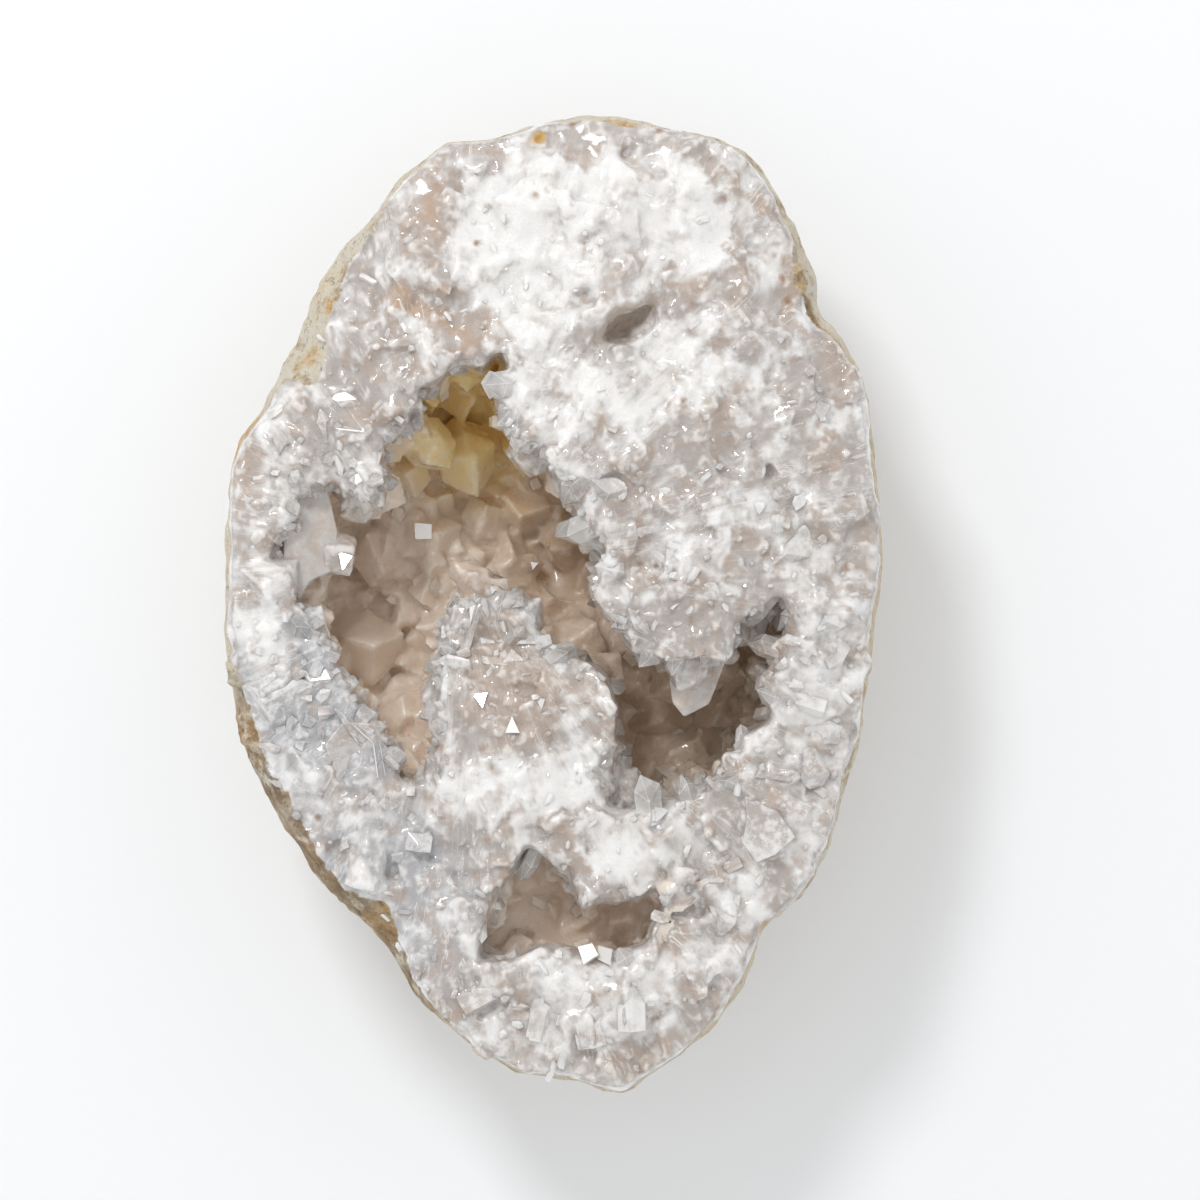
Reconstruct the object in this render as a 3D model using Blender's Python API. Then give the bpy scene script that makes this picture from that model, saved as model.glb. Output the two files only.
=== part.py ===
"""Half of a broken quartz geode, lying on its rounded back with the hollow face up.

Metres, +Z up. The origin lies on the resting surface, under the middle of the geode's box. +Y runs along
the geode, towards the end that the quartz fills.
"""

import math
import random
from collections import namedtuple

import bmesh
import bpy
from mathutils import Matrix, Vector, noise
from mathutils.bvhtree import BVHTree
from mathutils.geometry import delaunay_2d_cdt

MM = 0.001

# Heights above the resting surface
WIDEST_HEIGHT = 23.0 * MM
RIM_HEIGHT = 27.6 * MM
FACE_HEIGHT = 28.2 * MM
LIP_HEIGHT = 25.4 * MM
MOUTH_FLOOR = 22.4 * MM
CUTTER_TOP = 36.0 * MM

# Rounded back: the flat spot's share of the widest outline, rings as shares of the widest height
FLAT_SPOT_SHARE = 0.30
BACK_LEVELS = (0.0, 0.07, 0.2, 0.4, 0.63, 0.84, 1.0)
BACK_FULLNESS = 2.3
BACK_REACH = 0.992
OUTLINE_SPACING = 3.6 * MM
RIM_INSET = 0.6 * MM

# Natural unevenness: height and width of the lumps
BACK_LUMPS = (0.9 * MM, 9.0 * MM)
SMALL_BACK_LUMPS = (0.36 * MM, 3.6 * MM)
WIDEST_WAVE = (1.3 * MM, 7.0 * MM)
RIM_WAVE = (0.8 * MM, 5.0 * MM)
FACE_WAVE = (0.9 * MM, 6.0 * MM)

# Crystal points on the broken face
FACE_POINT_WIDTH = 3.5 * MM
FACE_POINT_STRAY = 0.9 * MM
FACE_POINT_RISE = (0.1 * MM, 0.9 * MM)
FACE_VALLEY_DROP = 0.7 * MM
FACE_EDGE_CLEARANCE = 1.9 * MM

# Hollows and their crusts
ROOM_UNEVENNESS = 0.14
ROOM_LUMPS = 1.9
GAP = 0.3 * MM
WALL_GRAIN = 1.0 * MM
WALL_SMOOTHING = 10
CRUST_THICKNESS = 1.9 * MM
CRYSTAL_ROOT = 0.5 * MM
POINT_STRAY = 0.25 * MM
POINT_HEIGHTS = (0.0 * MM, 1.1 * MM)
VALLEY_DEPTHS = (0.2 * MM, 0.7 * MM)

# Shape of a single large crystal: its point, shoulders and tip in radii, apart from the share of its length
CRYSTAL_FLATNESS = (0.8, 1.15)
CRYSTAL_POINT_LENGTH = 1.1
CRYSTAL_LEAST_SHOULDER = 0.35
SHOULDER_STRAY = 0.2
TIP_STRAY = 0.22

FACET_ANGLE = 24
SEED = 1544

# Widest outline of the geode, seen from above and listed anticlockwise from the right, in millimetres
OUTLINE_MM = (
    (27.5, 3.7), (27.0, 9.6), (26.3, 14.6), (25.4, 19.5), (23.7, 22.5), (21.6, 24.9), (21.9, 27.0),
    (20.1, 31.4), (18.5, 34.3), (16.2, 37.7), (14.1, 38.9), (10.1, 39.8), (2.7, 41.0), (-4.0, 39.3),
    (-9.0, 38.5), (-12.6, 35.5), (-15.9, 31.0), (-19.5, 26.6), (-21.2, 21.6), (-23.4, 17.5),
    (-26.4, 13.7), (-27.2, 7.1), (-27.4, 1.2), (-27.4, -4.2), (-26.0, -9.6), (-24.2, -15.4),
    (-20.6, -21.4), (-18.1, -24.7), (-15.6, -26.4), (-14.0, -28.7), (-11.1, -33.1), (-6.1, -37.4),
    (-2.7, -39.2), (2.2, -39.8), (5.7, -41.0), (9.7, -38.3), (13.1, -35.8), (16.5, -29.9),
    (17.4, -26.8), (18.5, -26.5), (21.5, -23.3), (24.0, -17.0), (25.2, -12.1), (26.2, -7.1),
    (27.0, -0.4),
)

# Mouth of the large hollow, in millimetres
MOUTH_MM = (
    (-8.1, 20.2), (-5.7, 19.4), (-4.8, 21.0), (-3.6, 19.9), (-5.5, 18.1), (-4.4, 16.4), (-4.6, 15.0),
    (-2.9, 13.3), (-0.7, 12.3), (0.3, 13.1), (0.6, 10.8), (1.7, 8.7), (4.1, 6.2), (3.9, 2.9),
    (2.9, 1.2), (5.4, -1.7), (7.2, -4.4), (9.1, -4.7), (9.9, -7.9), (11.0, -9.2), (12.7, -8.2),
    (14.4, -4.7), (15.1, -1.7), (17.7, -0.4), (18.0, 1.6), (19.9, -0.4), (19.5, -3.7), (17.6, -6.1),
    (18.5, -9.7), (15.7, -11.2), (12.9, -15.0), (9.9, -16.7), (6.0, -17.5), (4.1, -16.2),
    (4.5, -12.5), (5.5, -8.9), (4.5, -6.0), (2.2, -4.2), (0.2, -3.3), (-2.6, -1.2), (-3.7, 1.2),
    (-8.6, 0.4), (-9.3, -4.6), (-9.4, -13.7), (-13.1, -15.4), (-14.0, -11.2), (-16.9, -7.9),
    (-18.5, -3.3), (-22.5, 0.4), (-23.7, 4.2), (-21.0, 8.7), (-18.1, 10.6), (-16.1, 8.5),
    (-14.1, 9.1), (-14.4, 13.3), (-11.2, 15.8), (-11.7, 18.0), (-9.6, 18.5),
)

# Wall of the large hollow where it meets the face, behind the crystals that frame the mouth, in millimetres
SHAFT_MM = (
    (-8.5, 22.2), (-4.6, 23.0), (-1.6, 20.6), (-2.4, 16.6), (0.6, 14.9), (2.8, 12.6), (4.0, 9.8),
    (6.4, 6.8), (6.0, 2.6), (7.6, -0.8), (10.6, -3.0), (13.2, -1.4), (15.4, 2.4), (18.2, 4.0),
    (21.6, 1.2), (21.6, -4.2), (20.0, -6.6), (20.4, -10.8), (17.4, -13.4), (14.2, -17.0), (10.4, -18.8),
    (5.0, -19.4), (2.2, -17.0), (2.4, -12.6), (3.2, -9.0), (1.6, -6.6), (-1.4, -4.8), (-4.4, -2.2),
    (-7.0, -2.0), (-7.4, -6.0), (-7.4, -15.0), (-12.6, -17.6), (-16.0, -12.6), (-18.8, -8.8),
    (-20.4, -4.4), (-24.4, -0.8), (-25.3, 4.4), (-22.4, 10.2), (-18.4, 12.6), (-16.2, 12.4),
    (-14.2, 17.2), (-13.4, 19.6),
)

# Mouth of the small hollow, in millimetres
SMALL_MOUTH_MM = (
    (-1.7, -20.2), (-0.1, -22.0), (1.9, -23.4), (2.2, -25.5), (4.9, -24.8), (9.2, -24.0),
    (12.2, -23.3), (12.2, -24.9), (8.5, -25.8), (8.2, -28.3), (6.0, -29.1), (4.2, -31.6),
    (3.1, -30.2), (0.6, -28.3), (-2.7, -29.4), (-5.2, -30.2), (-6.4, -29.5), (-5.7, -26.2),
    (-4.6, -24.0), (-3.4, -21.9),
)

# Wall of the small hollow where it meets the face, in millimetres
SMALL_SHAFT_MM = (
    (-2.2, -18.8), (1.0, -20.4), (4.0, -22.0), (7.0, -22.4), (11.6, -21.9), (14.0, -23.0), (12.8, -26.2),
    (9.8, -27.6), (8.8, -30.6), (4.6, -33.2), (0.8, -31.2), (-4.6, -32.0), (-8.0, -30.8), (-7.2, -26.4),
    (-5.0, -21.8),
)

# Rooms of the large hollow: middle, half sizes and turn about Z, in millimetres and degrees
ROOMS_MM = (
    ((-16.0, -0.6, 16.5), (8.0, 15.0, 9.8), 20),
    ((-8.0, 13.6, 16.8), (6.8, 8.8, 9.3), 0),
    ((0.5, 6.0, 15.5), (12.5, 9.5, 8.8), -25),
    ((11.0, -7.4, 16.2), (10.2, 11.0, 9.8), 0),
)
SMALL_ROOMS_MM = (((2.4, -26.6, 21.0), (9.4, 6.0, 9.5), 8),)

# Single large crystals of the two crusts: root, tip and radius, in millimetres
LARGE_CRYSTALS_MM = (
    ((13.4, -0.6, 25.5), (11.0, -9.4, 25.0), 1.8),
    ((9.4, -1.6, 26.5), (9.0, -5.4, 26.0), 1.5),
    ((15.6, 2.4, 25.0), (16.0, -3.2, 24.0), 1.6),
    ((-24.4, 5.5, 21.0), (-18.0, 3.6, 23.5), 3.0),
    ((-24.0, -1.0, 20.0), (-18.5, -0.5, 21.0), 2.4),
    ((-21.5, -6.5, 24.0), (-15.2, -12.6, 24.4), 2.3),
    ((-17.0, 11.5, 23.0), (-15.8, 6.8, 22.0), 2.0),
    ((-15.0, 16.0, 22.0), (-9.5, 13.0, 19.0), 2.2),
    ((-13.0, 5.0, 7.5), (-11.4, 7.0, 14.5), 2.4),
    ((-18.0, -6.0, 7.5), (-15.0, -4.0, 13.0), 2.6),
    ((-7.0, 15.0, 7.5), (-6.2, 13.0, 13.0), 2.1),
    ((2.0, 6.5, 6.6), (0.5, 4.5, 12.5), 2.4),
    ((-3.5, 1.0, 7.6), (-4.5, 3.2, 14.0), 2.0),
    ((9.5, -10.0, 6.6), (8.2, -8.6, 12.0), 2.4),
    ((14.5, -6.0, 7.4), (13.0, -7.6, 13.0), 2.0),
    ((20.5, -5.0, 20.0), (15.6, -6.4, 21.0), 2.0),
    ((11.0, -18.0, 22.0), (9.6, -13.8, 23.6), 1.9),
    ((3.6, -17.6, 23.0), (6.2, -14.0, 24.0), 1.5),
    ((-7.2, -1.4, 18.0), (-5.6, 3.4, 22.0), 1.9),
    ((2.4, -7.0, 20.0), (5.8, -5.2, 22.5), 1.6),
)
SMALL_CRYSTALS_MM = (
    ((3.5, -20.5, 25.0), (2.2, -26.0, 24.5), 1.5),
    ((-5.5, -30.5, 20.0), (-2.6, -27.5, 23.0), 1.5),
    ((4.8, -32.0, 23.0), (4.3, -28.6, 26.5), 1.2),
    ((8.0, -26.0, 14.0), (6.6, -26.2, 19.0), 1.7),
    ((-2.0, -26.0, 13.0), (-1.2, -26.2, 18.0), 1.7),
)

Hollow = namedtuple("Hollow", "rooms shaft mouth floor crystals wall_triangles point_triangles")
LARGE_HOLLOW = Hollow(ROOMS_MM, SHAFT_MM, MOUTH_MM, 15.0 * MM, LARGE_CRYSTALS_MM, 480, 520)
SMALL_HOLLOW = Hollow(SMALL_ROOMS_MM, SMALL_SHAFT_MM, SMALL_MOUTH_MM, 21.0 * MM, SMALL_CRYSTALS_MM, 150, 130)

# Rises and dips of the broken face: middle, half widths and height, in millimetres
FACE_BUMPS_MM = (
    ((5.0, 12.0), (16.0, 21.0), 3.2),
    ((11.0, -1.0), (6.0, 8.0), 1.2),
    ((-2.0, -17.0), (12.0, 5.0), 0.9),
    ((-20.0, 12.0), (6.0, 10.0), -1.0),
    ((-3.5, -0.5), (5.0, 3.6), -3.6),
)

# Single large crystals that stand on the face: root, tip and radius, in millimetres
FACE_CRYSTALS_MM = (
    ((12.0, 6.0, 28.0), (10.0, 8.6, 31.8), 2.6),
    ((8.0, 13.5, 28.5), (6.0, 11.5, 33.0), 2.4),
    ((15.5, 12.0, 27.0), (17.4, 10.0, 30.8), 2.2),
    ((1.0, 18.5, 28.0), (-0.8, 17.4, 32.0), 2.0),
    ((-6.0, 28.0, 26.0), (-8.4, 27.2, 30.6), 2.6),
    ((4.0, 31.0, 26.5), (5.6, 32.6, 31.0), 2.4),
    ((14.0, 30.0, 26.0), (15.0, 28.0, 30.4), 2.2),
    ((-15.5, 24.0, 25.0), (-13.4, 22.6, 29.6), 2.4),
    ((-22.0, 14.0, 24.5), (-20.4, 15.6, 28.4), 2.0),
    ((23.0, 8.0, 25.0), (22.6, 5.6, 29.4), 2.2),
    ((23.6, -8.0, 25.0), (22.4, -9.8, 28.8), 2.0),
    ((19.0, -17.0, 25.0), (17.4, -15.6, 29.2), 2.2),
    ((-1.0, -11.0, 26.0), (0.8, -9.4, 30.0), 2.4),
    ((-3.4, -5.4, 23.0), (-3.8, -2.0, 27.0), 1.8),
    ((-9.0, -19.0, 26.0), (-10.6, -18.0, 29.8), 2.2),
    ((8.0, -20.8, 27.0), (6.0, -20.6, 30.0), 1.8),
    ((-21.0, -11.0, 24.8), (-19.6, -12.6, 28.6), 2.0),
    ((-1.0, -34.0, 25.0), (-2.4, -33.0, 29.2), 2.2),
    ((7.5, -34.6, 25.0), (8.2, -32.6, 28.8), 1.8),
)

# Places where the rind shows beyond the face: middle, extra width and spread, in millimetres
RIND_SHOWS_MM = (
    ((-20.5, 24.0), 2.6, 6.0),
    ((-26.0, -12.0), 0.9, 9.0),
    ((-15.0, -28.0), 1.3, 6.0),
    ((21.0, 27.0), 1.6, 3.5),
)

# Small pits in the face: middle and half sizes, in millimetres
PITS_MM = (
    ((6.2, 23.2, 31.0), (3.4, 1.0, 5.0), 28),
    ((-1.2, 38.6, 28.0), (1.1, 0.7, 2.2), 0),
)


def clear_scene():
    for old in list(bpy.data.objects):
        bpy.data.objects.remove(old, do_unlink=True)


def closed_curve(points, spacing):
    """The points of a closed outline, with more on a smooth curve between any two that lie far apart."""
    count = len(points)
    curve = []
    for index in range(count):
        before, start, end, after = (points[(index + step) % count] for step in (-1, 0, 1, 2))
        pieces = max(1, round((end - start).length / spacing))
        for piece in range(pieces):
            t = piece / pieces
            curve.append(
                0.5
                * (
                    2 * start
                    + (end - before) * t
                    + (2 * before - 5 * start + 4 * end - after) * t**2
                    + (3 * start - before - 3 * end + after) * t**3
                )
            )
    return curve


def outline_points(pairs_mm):
    return [Vector(pair) * MM for pair in pairs_mm]


def bump(point, middle_mm, width_mm):
    """A smooth hill, 1 at its middle and near 0 beyond its half widths."""
    across = (point.x / MM - middle_mm[0]) / width_mm[0]
    along = (point.y / MM - middle_mm[1]) / width_mm[1]
    return math.exp(-(across**2) - along**2)


def wave(point, lumps):
    """Height of a natural unevenness at a point."""
    height, width = lumps
    return height * noise.noise(point.to_3d() / width)


def face_height(point):
    """Height of the broken face over a point of the plan."""
    height = FACE_HEIGHT + wave(point, FACE_WAVE)
    for middle, width, rise in FACE_BUMPS_MM:
        height += rise * MM * bump(point, middle, width)
    return height


def rim_inset(point):
    """How far inside the widest outline the face begins."""
    inset = RIM_INSET
    for middle, width, spread in RIND_SHOWS_MM:
        inset += width * MM * bump(point, middle, (spread, spread))
    return inset


def add_object(name, mesh_work):
    mesh = bpy.data.meshes.new(name)
    bmesh.ops.recalc_face_normals(mesh_work, faces=mesh_work.faces)
    mesh_work.to_mesh(mesh)
    mesh_work.free()
    thing = bpy.data.objects.new(name, mesh)
    bpy.context.scene.collection.objects.link(thing)
    return thing


def combine(target, other, operation):
    """Cuts, joins or trims the target with the other shape, which is then removed."""
    modifier = target.modifiers.new(operation.title(), "BOOLEAN")
    modifier.operation = operation
    modifier.object = other
    modifier.solver = "EXACT"
    bpy.context.view_layer.objects.active = target
    bpy.ops.object.modifier_apply(modifier=modifier.name)
    bpy.data.objects.remove(other, do_unlink=True)


def copy_of(thing):
    twin = bpy.data.objects.new("copy", thing.data.copy())
    bpy.context.scene.collection.objects.link(twin)
    return twin


def keep_main_body(thing):
    """Fills closed pockets between crystals and drops loose crumbs."""
    work = bmesh.new()
    work.from_mesh(thing.data)
    left = set(work.faces)
    groups = []
    while left:
        front = [left.pop()]
        group = list(front)
        while front:
            face = front.pop()
            for edge in face.edges:
                for near in edge.link_faces:
                    if near in left:
                        left.remove(near)
                        front.append(near)
                        group.append(near)
        groups.append(group)
    groups.sort(key=lambda faces: sum(face.calc_area() for face in faces))
    for group in groups[:-1]:
        bmesh.ops.delete(work, geom=group, context="FACES")
    loose = [vert for vert in work.verts if not vert.link_faces]
    bmesh.ops.delete(work, geom=loose, context="VERTS")
    work.to_mesh(thing.data)
    work.free()


def distance_to(outline, point):
    """Distance from a closed outline to a point of the plan."""
    best = math.inf
    for start, end in zip(outline, outline[1:] + outline[:1]):
        side = end - start
        share = max(0.0, min(1.0, (point - start).dot(side) / side.length_squared))
        best = min(best, (point - start - side * share).length)
    return best


def inside(point, outline):
    crossings = 0
    for start, end in zip(outline, outline[1:] + outline[:1]):
        if (start.y > point.y) != (end.y > point.y):
            cut = start.x + (point.y - start.y) * (end.x - start.x) / (end.y - start.y)
            crossings += cut > point.x
    return crossings % 2 == 1


def add_points(work, peaks, valleys, triangles):
    """Six-sided points side by side: each peak is ringed by the valleys of the triangles that meet in it."""
    sides = {}
    for valley, corners in zip(valleys, triangles):
        for index, corner in enumerate(corners):
            side = frozenset((corner, corners[(index + 1) % 3]))
            sides.setdefault(side, []).append(valley)
    for side, low in sides.items():
        first, second = (peaks[corner] for corner in side)
        if len(low) == 1:
            work.faces.new((first, second, low[0]))
            continue
        work.faces.new((first, low[0], low[1]))
        work.faces.new((second, low[1], low[0]))


def face_points(rim, chance):
    """Uneven points over the plan of the face, in staggered rows and clear of its rim."""
    row_step = FACE_POINT_WIDTH * math.sqrt(0.75)
    rows = math.ceil(max(abs(point.y) for point in rim) / row_step)
    columns = math.ceil(max(abs(point.x) for point in rim) / FACE_POINT_WIDTH)
    found = []
    for row in range(-rows, rows + 1):
        for column in range(-columns, columns + 1):
            x = (column + 0.5 * (row % 2)) * FACE_POINT_WIDTH
            stray = Vector((chance.uniform(-1, 1), chance.uniform(-1, 1))) * FACE_POINT_STRAY
            point = Vector((x, row * row_step)) + stray
            if inside(point, rim) and distance_to(rim, point) > FACE_EDGE_CLEARANCE:
                found.append(point)
    return found


def back_point(flat, level):
    """A point of the rounded back, at a share of the widest height."""
    share = FLAT_SPOT_SHARE + (1 - FLAT_SPOT_SHARE) * math.sqrt(1 - (1 - level) ** BACK_FULLNESS)
    point = Vector((flat.x * share, flat.y * share, WIDEST_HEIGHT * level))
    if level == 0:
        return point
    if level == 1:
        point.z += wave(point, WIDEST_WAVE)
        return point
    outward = Vector((flat.x, flat.y, -0.6 * (1 - level) * flat.length)).normalized()
    point += outward * (wave(point, BACK_LUMPS) + wave(point, SMALL_BACK_LUMPS))
    across = math.hypot(point.x, point.y)
    shrink = min(1.0, BACK_REACH * flat.length / across)
    return Vector((point.x * shrink, point.y * shrink, point.z))


def on_rim(corners, sources, rim):
    return any(sources[corner][0] < len(rim) for corner in corners)


def add_face(work, rim, rim_flat, chance):
    """The broken face inside the rim, covered with crystal points."""
    around = [(index, (index + 1) % len(rim)) for index in range(len(rim))]
    plan_points = rim_flat + face_points(rim_flat, chance)
    plan, _, triangles, sources, _, _ = delaunay_2d_cdt(plan_points, around, [], 1, 1e-7)
    peaks = []
    for flat, source in zip(plan, sources):
        if source[0] < len(rim):
            peaks.append(rim[source[0]])
            continue
        high = face_height(flat) + chance.uniform(*FACE_POINT_RISE)
        peaks.append(work.verts.new((flat.x, flat.y, high)))
    valleys = []
    for corners in triangles:
        flat = sum((plan[corner] for corner in corners), Vector((0, 0))) / 3
        low = face_height(flat)
        if on_rim(corners, sources, rim):
            low = min(low, RIM_HEIGHT)
        valleys.append(work.verts.new((flat.x, flat.y, low - chance.uniform(0, 1) * FACE_VALLEY_DROP)))
    add_points(work, peaks, valleys, triangles)


def make_body(chance):
    """The solid half before it is hollowed: a flat spot, the rounded back, the rim and the broken face."""
    outline = closed_curve(outline_points(OUTLINE_MM), OUTLINE_SPACING)
    work = bmesh.new()
    rings = []
    for level in BACK_LEVELS:
        rings.append([work.verts.new(back_point(flat, level)) for flat in outline])
    rim_flat = [flat - flat.normalized() * rim_inset(flat) for flat in outline]
    rim = [work.verts.new((flat.x, flat.y, RIM_HEIGHT + wave(flat, RIM_WAVE))) for flat in rim_flat]
    rings.append(rim)
    for low, high in zip(rings, rings[1:]):
        for index in range(len(outline)):
            after = (index + 1) % len(outline)
            work.faces.new((low[index], low[after], high[after], high[index]))
    work.faces.new(list(reversed(rings[0])))
    add_face(work, rim, rim_flat, chance)
    return add_object("body", work)


def room_frame(room):
    middle, half, turn = room
    return Vector(middle) * MM, Vector(half) * MM, Matrix.Rotation(math.radians(turn), 3, "Z")


def room_point(room, direction):
    """A point on the uneven wall of a room, in a direction from its middle."""
    middle, half, turn = room_frame(room)
    uneven = 1 + ROOM_UNEVENNESS * noise.noise(direction * ROOM_LUMPS + middle / FACE_WAVE[1])
    return middle + turn @ (direction * half * uneven)


def make_room(room):
    work = bmesh.new()
    bmesh.ops.create_icosphere(work, subdivisions=3, radius=1)
    for vert in work.verts:
        vert.co = room_point(room, vert.co.normalized())
    return add_object("room", work)


def make_prism(outline, low, high):
    work = bmesh.new()
    bottom = [work.verts.new((point.x, point.y, low)) for point in outline]
    top = [work.verts.new((point.x, point.y, high)) for point in outline]
    work.faces.new(list(reversed(bottom)))
    work.faces.new(top)
    for index in range(len(outline)):
        after = (index + 1) % len(outline)
        work.faces.new((bottom[index], bottom[after], top[after], top[index]))
    return add_object("prism", work)


def apply_modifier(thing, kind, **settings):
    modifier = thing.modifiers.new(kind.title(), kind)
    for name, value in settings.items():
        setattr(modifier, name, value)
    bpy.context.view_layer.objects.active = thing
    bpy.ops.object.modifier_apply(modifier=modifier.name)


def triangle_count(thing):
    return sum(len(polygon.vertices) - 2 for polygon in thing.data.polygons)


def smooth_facets(thing, triangles):
    """Rebuilds a shape as one clean skin of rounded facets with about that many triangles."""
    apply_modifier(thing, "REMESH", mode="VOXEL", voxel_size=WALL_GRAIN)
    apply_modifier(thing, "SMOOTH", factor=0.5, iterations=WALL_SMOOTHING)
    apply_modifier(thing, "DECIMATE", ratio=triangles / triangle_count(thing))
    apply_modifier(thing, "TRIANGULATE", quad_method="SHORTEST_DIAGONAL")


def make_wall(hollow):
    """The wall of a whole hollow: its rooms and the shaft up through the face."""
    wall = make_prism(outline_points(hollow.shaft), hollow.floor, CUTTER_TOP)
    for room in hollow.rooms:
        combine(wall, make_room(room), "UNION")
    smooth_facets(wall, hollow.wall_triangles)
    return wall


def untangle(work, rest):
    """Moves the corners of faces that cross each other back towards where they rest, until none do."""
    for _ in range(12):
        tree = BVHTree.FromBMesh(work)
        work.faces.ensure_lookup_table()
        crossed = set()
        for first, second in tree.overlap(tree):
            corners = set(work.faces[first].verts) | set(work.faces[second].verts)
            if len(corners) == 6:
                crossed |= corners
        for vert in crossed:
            vert.co = vert.co.lerp(rest[vert], 0.4)
        if not crossed:
            return


def drawn_in(wall, distance):
    """A copy of a hollow's wall, moved into the hollow by a distance."""
    work = bmesh.new()
    work.from_mesh(wall.data)
    rest = {vert: vert.co.copy() for vert in work.verts}
    for vert in work.verts:
        vert.co = rest[vert] - vert.normal * distance
    untangle(work, rest)
    return add_object("drawn_in", work)


def make_block(top):
    """A block wider than the geode, from the resting surface up to a height."""
    reach = max(point.length for point in outline_points(OUTLINE_MM)) + RIM_INSET
    corners = [Vector(side) * reach for side in ((-1, -1), (1, -1), (1, 1), (-1, 1))]
    return make_prism(corners, 0, top)


def make_free_space(hollow, wall, chance):
    """What the crust leaves free: the hollow with crystal points standing into it, and the mouth above."""
    core = drawn_in(wall, GAP + CRUST_THICKNESS)
    smooth_facets(core, hollow.point_triangles)
    triangles = [list(polygon.vertices) for polygon in core.data.polygons]
    work = bmesh.new()
    rest = {}
    peaks = []
    for vert, normal in zip(core.data.vertices, core.data.vertex_normals):
        stray = Vector([chance.uniform(-1, 1) for _ in range(3)]) * POINT_STRAY
        peaks.append(work.verts.new(vert.co + stray - normal.vector * chance.uniform(*POINT_HEIGHTS)))
        rest[peaks[-1]] = vert.co.copy()
    valleys = []
    for polygon in core.data.polygons:
        valleys.append(work.verts.new(polygon.center + polygon.normal * chance.uniform(*VALLEY_DEPTHS)))
        rest[valleys[-1]] = polygon.center.copy()
    bpy.data.objects.remove(core, do_unlink=True)
    add_points(work, peaks, valleys, triangles)
    bmesh.ops.recalc_face_normals(work, faces=work.faces)
    untangle(work, rest)
    space = add_object("free_space", work)
    combine(space, make_block(LIP_HEIGHT), "INTERSECT")
    combine(space, make_prism(outline_points(hollow.mouth), MOUTH_FLOOR, CUTTER_TOP), "UNION")
    return space


def make_crystal(root_mm, tip_mm, radius_mm, chance):
    """One closed quartz crystal: a six-sided column with a six-sided point."""
    root, tip = Vector(root_mm) * MM, Vector(tip_mm) * MM
    radius = radius_mm * MM
    length = (tip - root).length
    turn = (tip - root).to_track_quat("Z", "Y").to_matrix()
    turn = turn @ Matrix.Rotation(chance.uniform(0, math.pi), 3, "Z")
    flatness = chance.uniform(*CRYSTAL_FLATNESS)
    shoulder = max(CRYSTAL_LEAST_SHOULDER * length, length - CRYSTAL_POINT_LENGTH * radius)
    work = bmesh.new()
    low, high = [], []
    for corner in range(6):
        angle = math.radians(60 * corner)
        x = radius * math.cos(angle)
        y = radius * flatness * math.sin(angle)
        lift = shoulder + radius * chance.uniform(-SHOULDER_STRAY, SHOULDER_STRAY)
        low.append(work.verts.new(root + turn @ Vector((x, y, 0))))
        high.append(work.verts.new(root + turn @ Vector((x, y, lift))))
    lean = Vector((chance.uniform(-1, 1), chance.uniform(-1, 1), 0)) * TIP_STRAY * radius
    point = work.verts.new(root + turn @ (Vector((0, 0, length)) + lean))
    work.faces.new(list(reversed(low)))
    for corner in range(6):
        after = (corner + 1) % 6
        work.faces.new((low[corner], low[after], high[after], high[corner]))
        work.faces.new((high[corner], high[after], point))
    return add_object("crystal", work)


def make_crust(name, hollow, wall, body, chance):
    """The crystal lining of one hollow, drawn in from the wall by a hair's gap and open at the mouth."""
    crust = drawn_in(wall, GAP)
    crust.name = name
    combine(crust, make_free_space(hollow, wall, chance), "DIFFERENCE")
    combine(crust, copy_of(body), "INTERSECT")
    keep_main_body(crust)
    for large_crystal in hollow.crystals:
        crystal = make_crystal(*large_crystal, chance)
        combine(crystal, drawn_in(wall, GAP + CRYSTAL_ROOT), "INTERSECT")
        combine(crust, crystal, "UNION")
    keep_main_body(crust)
    return crust


def make_shell(body, walls, chance):
    """The body with its large face crystals, hollowed and pitted."""
    shell = copy_of(body)
    shell.name = "geode_shell"
    for face_crystal in FACE_CRYSTALS_MM:
        combine(shell, make_crystal(*face_crystal, chance), "UNION")
    for wall in walls:
        combine(shell, copy_of(wall), "DIFFERENCE")
    for pit in PITS_MM:
        combine(shell, make_room(pit), "DIFFERENCE")
    keep_main_body(shell)
    return shell


def finish(thing, colour, roughness):
    """Gives a node its own material and shades its round parts smooth."""
    material = bpy.data.materials.new(thing.name)
    material.use_nodes = True
    shader = material.node_tree.nodes["Principled BSDF"]
    shader.inputs["Base Color"].default_value = (*colour, 1)
    shader.inputs["Roughness"].default_value = roughness
    shader.inputs["Metallic"].default_value = 0
    thing.data.materials.clear()
    thing.data.materials.append(material)
    thing.data.shade_smooth()
    thing.data.set_sharp_from_angle(angle=math.radians(FACET_ANGLE))


clear_scene()
chance = random.Random(SEED)
body = make_body(chance)
large_wall = make_wall(LARGE_HOLLOW)
small_wall = make_wall(SMALL_HOLLOW)
shell = make_shell(body, (large_wall, small_wall), chance)
crust = make_crust("crystal_crust", LARGE_HOLLOW, large_wall, body, chance)
small_crust = make_crust("small_crystal_crust", SMALL_HOLLOW, small_wall, body, chance)
finish(shell, (0.82, 0.82, 0.83), 0.4)
finish(crust, (0.74, 0.68, 0.60), 0.2)
finish(small_crust, (0.76, 0.71, 0.64), 0.2)
for guide in (body, large_wall, small_wall):
    bpy.data.objects.remove(guide, do_unlink=True)
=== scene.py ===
"""Looks of a broken quartz geode half: rind, white quartz, crystals of the two hollows, studio floor and light."""

import math

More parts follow.
